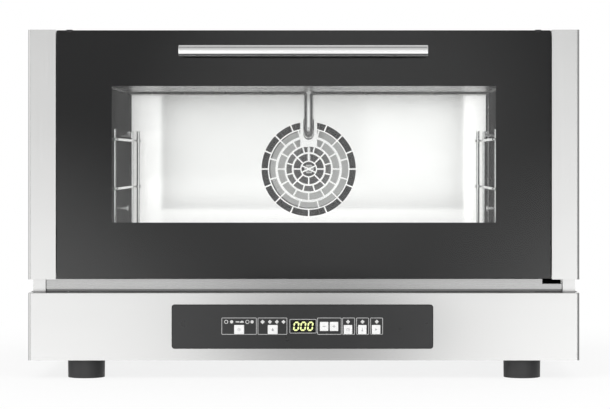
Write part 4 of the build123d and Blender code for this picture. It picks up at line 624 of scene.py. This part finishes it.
# Small plain signs above the keys
icon_z = overlay_z + ICON_ABOVE
icon_shapes = [
    ring(-0.1103, icon_z, 0.0028, 0.0008),
    circle(-0.1026, icon_z, 0.0023),
    bar(-0.0942, icon_z, 0.0052, 0.0016),
    circle(-0.0880, icon_z - 0.0012, 0.0028, 16, 0.0, math.pi, False),
    ring(-0.0802, icon_z, 0.0028, 0.0008),
    circle(-0.0735, icon_z, 0.0023),
    diamond(-0.0586, icon_z, 0.0032),
    diamond(-0.0482, icon_z, 0.0029),
    diamond(-0.0383, icon_z, 0.0029),
    diamond(-0.0289, icon_z, 0.0029),
    diamond(0.0628, icon_z + 0.0002, 0.0030),
    diamond(0.0834, icon_z + 0.0002, 0.0030),
    diamond(0.1037, icon_z + 0.0002, 0.0030),
]
flat_piece("key_signs", icon_shapes, PRINT_FRONT, white_print, "body")


# Lit digits on the front of the display module, behind the smoked lens

def lit_zero(x, z, width, height, stroke):
    """The outline of a slanted 0 made of six straight segments with mitred ends."""
    slant = 0.12
    gap = stroke * 0.16
    half = stroke / 2
    side_x = width / 2
    side_z = height / 2
    parts = []
    for level in (-1, 1):
        bar_z = z + level * (side_z - half)
        parts.append(
            [
                (x - side_x + half + gap, bar_z),
                (x - side_x + stroke + gap, bar_z - half),
                (x + side_x - stroke - gap, bar_z - half),
                (x + side_x - half - gap, bar_z),
                (x + side_x - stroke - gap, bar_z + half),
                (x - side_x + stroke + gap, bar_z + half),
            ]
        )
    for side in (-1, 1):
        bar_x = x + side * (side_x - half)
        for level in (-1, 1):
            low, high = sorted((z + level * gap, z + level * (side_z - half - gap)))
            parts.append(
                [
                    (bar_x, low),
                    (bar_x + half, low + half),
                    (bar_x + half, high - half),
                    (bar_x, high),
                    (bar_x - half, high - half),
                    (bar_x - half, low + half),
                ]
            )
    return [[(px + slant * (pz - z), pz) for px, pz in part] for part in parts]


lit_green = glowing("display_glow", (0.90, 0.95, 0.42), 4.5)
digit_z = display_z - DIGIT_BELOW
digit_outlines = []
for digit_x in DIGIT_PLACES:
    digit_outlines += lit_zero(digit_x, digit_z, DIGIT_WIDTH, DIGIT_HEIGHT, DIGIT_STROKE)
digits_front = module_front - PRINT_THICKNESS
flat_piece("display_digits", digit_outlines, digits_front, lit_green, "body")


# Signs on the keys, each riding on its own key

def key_centre(name):
    """Middle of a key's face, across and up, and the Y of that face."""
    low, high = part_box(name)
    return (low.x + high.x) / 2, (low.z + high.z) / 2, low.y


def drop(x, z):
    round_part = circle(x, z - 0.0006, 0.0016, 15, math.radians(-215), math.radians(250), False)
    return [(x, z + 0.0026)] + round_part[::-1]


key_marks = {
    "mode_button": lambda x, z: [ring(x, z, 0.0022, 0.0005), circle(x, z, 0.0008)],
    "humidity_button": lambda x, z: [drop(x, z)],
    "minus_button": lambda x, z: [bar(x, z, 0.0044, 0.0009)],
    "plus_button": lambda x, z: [
        bar(x, z, 0.0044, 0.0009),
        bar(x, z + 0.00135, 0.0009, 0.0018),
        bar(x, z - 0.00135, 0.0009, 0.0018),
    ],
    "time_button": lambda x, z: [
        ring(x, z, 0.0023, 0.0005),
        bar(x, z + 0.0007, 0.0005, 0.0016),
        bar(x + 0.0006, z - 0.0003, 0.0013, 0.0005),
    ],
    "temperature_button": lambda x, z: [
        circle(x, z - 0.0016, 0.0011),
        bar(x, z + 0.0009, 0.0009, 0.0034),
    ],
    "start_button": lambda x, z: [
        [(x - 0.0012, z - 0.0018), (x + 0.0019, z), (x - 0.0012, z + 0.0018)],
    ],
}
for key, make_mark in key_marks.items():
    key_x, key_z, key_front = key_centre(key)
    sign = key.replace("_button", "_key_sign")
    sign_front = key_front - PRINT_THICKNESS
    flat_piece(sign, make_mark(key_x, key_z), sign_front, grey_print, key + "_body")


# Floor, background and lamps

def studio_sheet(name, draw, **settings):
    """A flat sheet of the studio, drawn by a bmesh operator."""
    mesh = bpy.data.meshes.new(name)
    shape = bmesh.new()
    draw(shape, **settings)
    shape.to_mesh(mesh)
    shape.free()
    return add_object(name, mesh)


def emission(tree, strength):
    node = tree.nodes.new("ShaderNodeEmission")
    node.inputs["Color"].default_value = WHITE
    node.inputs["Strength"].default_value = strength
    return node.outputs["Emission"]


def seen_directly(tree, path):
    """1 for what the eye sees, straight or through glass, and 0 for other rays."""
    rays = path.outputs
    return combined(tree, "MAXIMUM", rays["Is Camera Ray"], rays["Is Transmission Ray"])


def centre_distance(tree):
    """Distance from the sheet's own centre."""
    coordinates = tree.nodes.new("ShaderNodeTexCoord")
    return length_of(tree, coordinates.outputs["Object"])


def build_floor():
    """A white floor that keeps the shadow near the oven; metal looks through it at the room."""
    floor = studio_sheet(
        "studio_floor", bmesh.ops.create_circle, cap_ends=True, radius=FLOOR_RADIUS, segments=96
    )
    material, tree, shader = start_material("studio_floor")
    shader.inputs["Base Color"].default_value = (0.93, 0.93, 0.93, 1.0)
    shader.inputs["Roughness"].default_value = 0.9
    shader.inputs["Specular IOR Level"].default_value = 0.0
    path = tree.nodes.new("ShaderNodeLightPath")
    away = ranged(
        tree,
        centre_distance(tree),
        FLOOR_WHITE_SHARE,
        1.0,
        FLOOR_SHADED_WITHIN,
        FLOOR_WHITE_BEYOND,
        smooth=True,
    )
    white_share = combined(tree, "MULTIPLY", seen_directly(tree, path), away)
    seen = mixed_shader(tree, white_share, shader.outputs["BSDF"], emission(tree, 1.0))
    through = tree.nodes.new("ShaderNodeBsdfTransparent")
    show(tree, mixed_shader(tree, path.outputs["Is Glossy Ray"], seen, through.outputs["BSDF"]))
    floor.data.materials.append(material)


def build_card():
    """Dark card low in front of the oven, seen in metal alone: it shades the middle of the fascia."""
    card = studio_sheet("studio_card", bmesh.ops.create_grid, x_segments=1, y_segments=1, size=0.5)
    card.location = CARD_PLACE
    card.rotation_euler = (math.radians(90.0), 0.0, 0.0)
    card.scale = (CARD_WIDTH, CARD_HEIGHT, 1.0)
    material, tree = start_material("studio_card")[:2]
    fade = ranged(tree, centre_distance(tree), 0.31, 1.0, 0.10, 0.48)
    through = tree.nodes.new("ShaderNodeBsdfTransparent")
    show(tree, mixed_shader(tree, fade, emission(tree, 0.0), through.outputs["BSDF"]))
    card.data.materials.append(material)
    card.visible_camera = False
    card.visible_diffuse = False
    card.visible_shadow = False
    card.visible_transmission = False


def background(tree, strength):
    node = tree.nodes.new("ShaderNodeBackground")
    node.inputs["Color"].default_value = WHITE
    set_input(tree, node.inputs["Strength"], strength)
    return node.outputs["Background"]


def build_world():
    """A white room, plain to the eye; metal sees soft lamps and darker parts in it."""
    world = bpy.data.worlds.new("studio")
    bpy.context.scene.world = world
    world.use_nodes = True
    tree = world.node_tree
    tree.nodes.clear()
    output = tree.nodes.new("ShaderNodeOutputWorld")
    coordinates = tree.nodes.new("ShaderNodeTexCoord")
    height = split_axes(tree, coordinates.outputs["Generated"])["Z"]

    def patch(direction, inner, outer):
        """1 within the angle inner of a direction, in degrees, and 0 beyond the angle outer."""
        product = tree.nodes.new("ShaderNodeVectorMath")
        product.operation = "DOT_PRODUCT"
        product.inputs[1].default_value = Vector(direction).normalized()
        tree.links.new(coordinates.outputs["Generated"], product.inputs[0])
        low = math.cos(math.radians(outer))
        high = math.cos(math.radians(inner))
        return ranged(tree, product.outputs["Value"], 0.0, 1.0, low, high, smooth=True)

    def band(low, high):
        """0 below the low height, 1 above the high one; the other way round when low is the larger."""
        if low < high:
            return ranged(tree, height, 0.0, 1.0, low, high, smooth=True)
        return ranged(tree, height, 1.0, 0.0, high, low, smooth=True)

    # How light metal sees the room: each part of it, and what that part adds
    waist = combined(tree, "MULTIPLY", band(0.07, 0.14), band(0.45, 0.28))
    low_front = combined(tree, "MULTIPLY", band(-0.22, -0.42), patch((0.0, -1.0, -0.6), 30.0, 75.0))
    level = METAL_LEVEL
    for part, amount in (
        (patch((-0.16, -1.0, -0.115), 1.0, 8.3), 1.5),
        (patch((0.16, -1.0, -0.115), 1.0, 8.8), 1.8),
        (patch((-0.28, -1.0, -0.20), 1.0, 15.5), 0.42),
        (patch((0.28, -1.0, -0.20), 1.0, 15.5), 0.40),
        (patch((0.0, -1.0, 0.01), 0.5, 5.5), 0.54),
        (patch((-1.0, -0.5, 0.0), 8.0, 40.0), 0.60),
        (patch((1.0, -0.5, 0.0), 8.0, 40.0), -0.35),
        (patch((0.5, 1.0, 0.3), 5.0, 50.0), 0.40),
        (waist, 0.36),
        (low_front, 0.75),
        (band(-0.78, -0.92), -1.0),
        (patch((0.0, -0.26, 0.97), 3.0, 10.0), -0.8),
    ):
        level = combined(tree, "ADD", level, combined(tree, "MULTIPLY", part, amount))
    mirrored = background(tree, combined(tree, "MAXIMUM", level, METAL_LEAST))

    path = tree.nodes.new("ShaderNodeLightPath")
    room = mixed_shader(tree, path.outputs["Is Glossy Ray"], background(tree, SHADE_LEVEL), mirrored)
    whole = mixed_shader(tree, seen_directly(tree, path), room, background(tree, EYE_LEVEL))
    tree.links.new(whole, output.inputs["Surface"])


def area_lamp(name, place, target, size, watts, height=None):
    light = bpy.data.lights.new(name, "AREA")
    light.energy = watts
    light.size = size
    if height:
        light.shape = "RECTANGLE"
        light.size_y = height
    lamp = add_object(name, light)
    lamp.location = place
    direction = Vector(target) - Vector(place)
    lamp.rotation_euler = direction.to_track_quat("-Z", "Y").to_euler()
    return lamp


build_floor()
build_card()
build_world()
for name, place, watts in (
    ("key_lamp", (-1.6, -2.6, 2.4), 38.0),
    ("fill_lamp", (2.2, -2.2, 1.6), 20.0),
    ("rear_lamp", (0.6, 2.8, 2.2), 22.0),
):
    lamp = area_lamp(name, place, LAMP_TARGET, LAMP_SIZE, watts)
    lamp.visible_glossy = False
cavity_lamp = area_lamp("cavity_lamp", (0.0, -0.20, 0.413), (0.0, 0.15, 0.26), 0.40, 1.6, 0.05)
cavity_lamp.visible_camera = False
cavity_lamp.visible_glossy = False

# Soft light in the cavity for the polished baffle: a sheet over all of it, strips along three of its
# edges, and two more over its lower and right halves
for name, (x, y, z, width, height), watts in (
    ("baffle_sheet_lamp", (0.0, -0.05, 0.290, 0.586, 0.246), 0.096),
    ("baffle_left_lamp", (-0.267, 0.10, 0.292, 0.052, 0.250), 0.026),
    ("baffle_right_lamp", (0.2727, 0.10, 0.292, 0.0406, 0.250), 0.024),
    ("baffle_low_lamp", (0.0055, 0.10, 0.1993, 0.494, 0.0626), 0.046),
    ("baffle_lower_half_lamp", (0.0, -0.06, 0.225, 0.580, 0.110), 0.034),
    ("baffle_right_half_lamp", (0.19, -0.06, 0.290, 0.200, 0.240), 0.022),
):
    lamp = area_lamp(name, (x, y, z), (x, 1.0, z), width, watts, height)
    lamp.visible_camera = False
    lamp.visible_transmission = False

# Camera at the photograph's place, with the photograph's framing
camera_data = bpy.data.cameras.new("camera")
camera_data.lens = CAMERA_LENS
camera_data.sensor_width = 36.0
camera_data.sensor_fit = "HORIZONTAL"
camera_data.shift_x, camera_data.shift_y = CAMERA_SHIFT
camera_data.clip_end = 60.0
camera = add_object("camera", camera_data)
camera.location = (CAMERA_X, GLASS_FRONT_Y - CAMERA_DISTANCE, CAMERA_Z)
camera.rotation_euler = (math.radians(90.0), 0.0, 0.0)
bpy.context.scene.camera = camera

bpy.context.scene.view_settings.view_transform = "Standard"
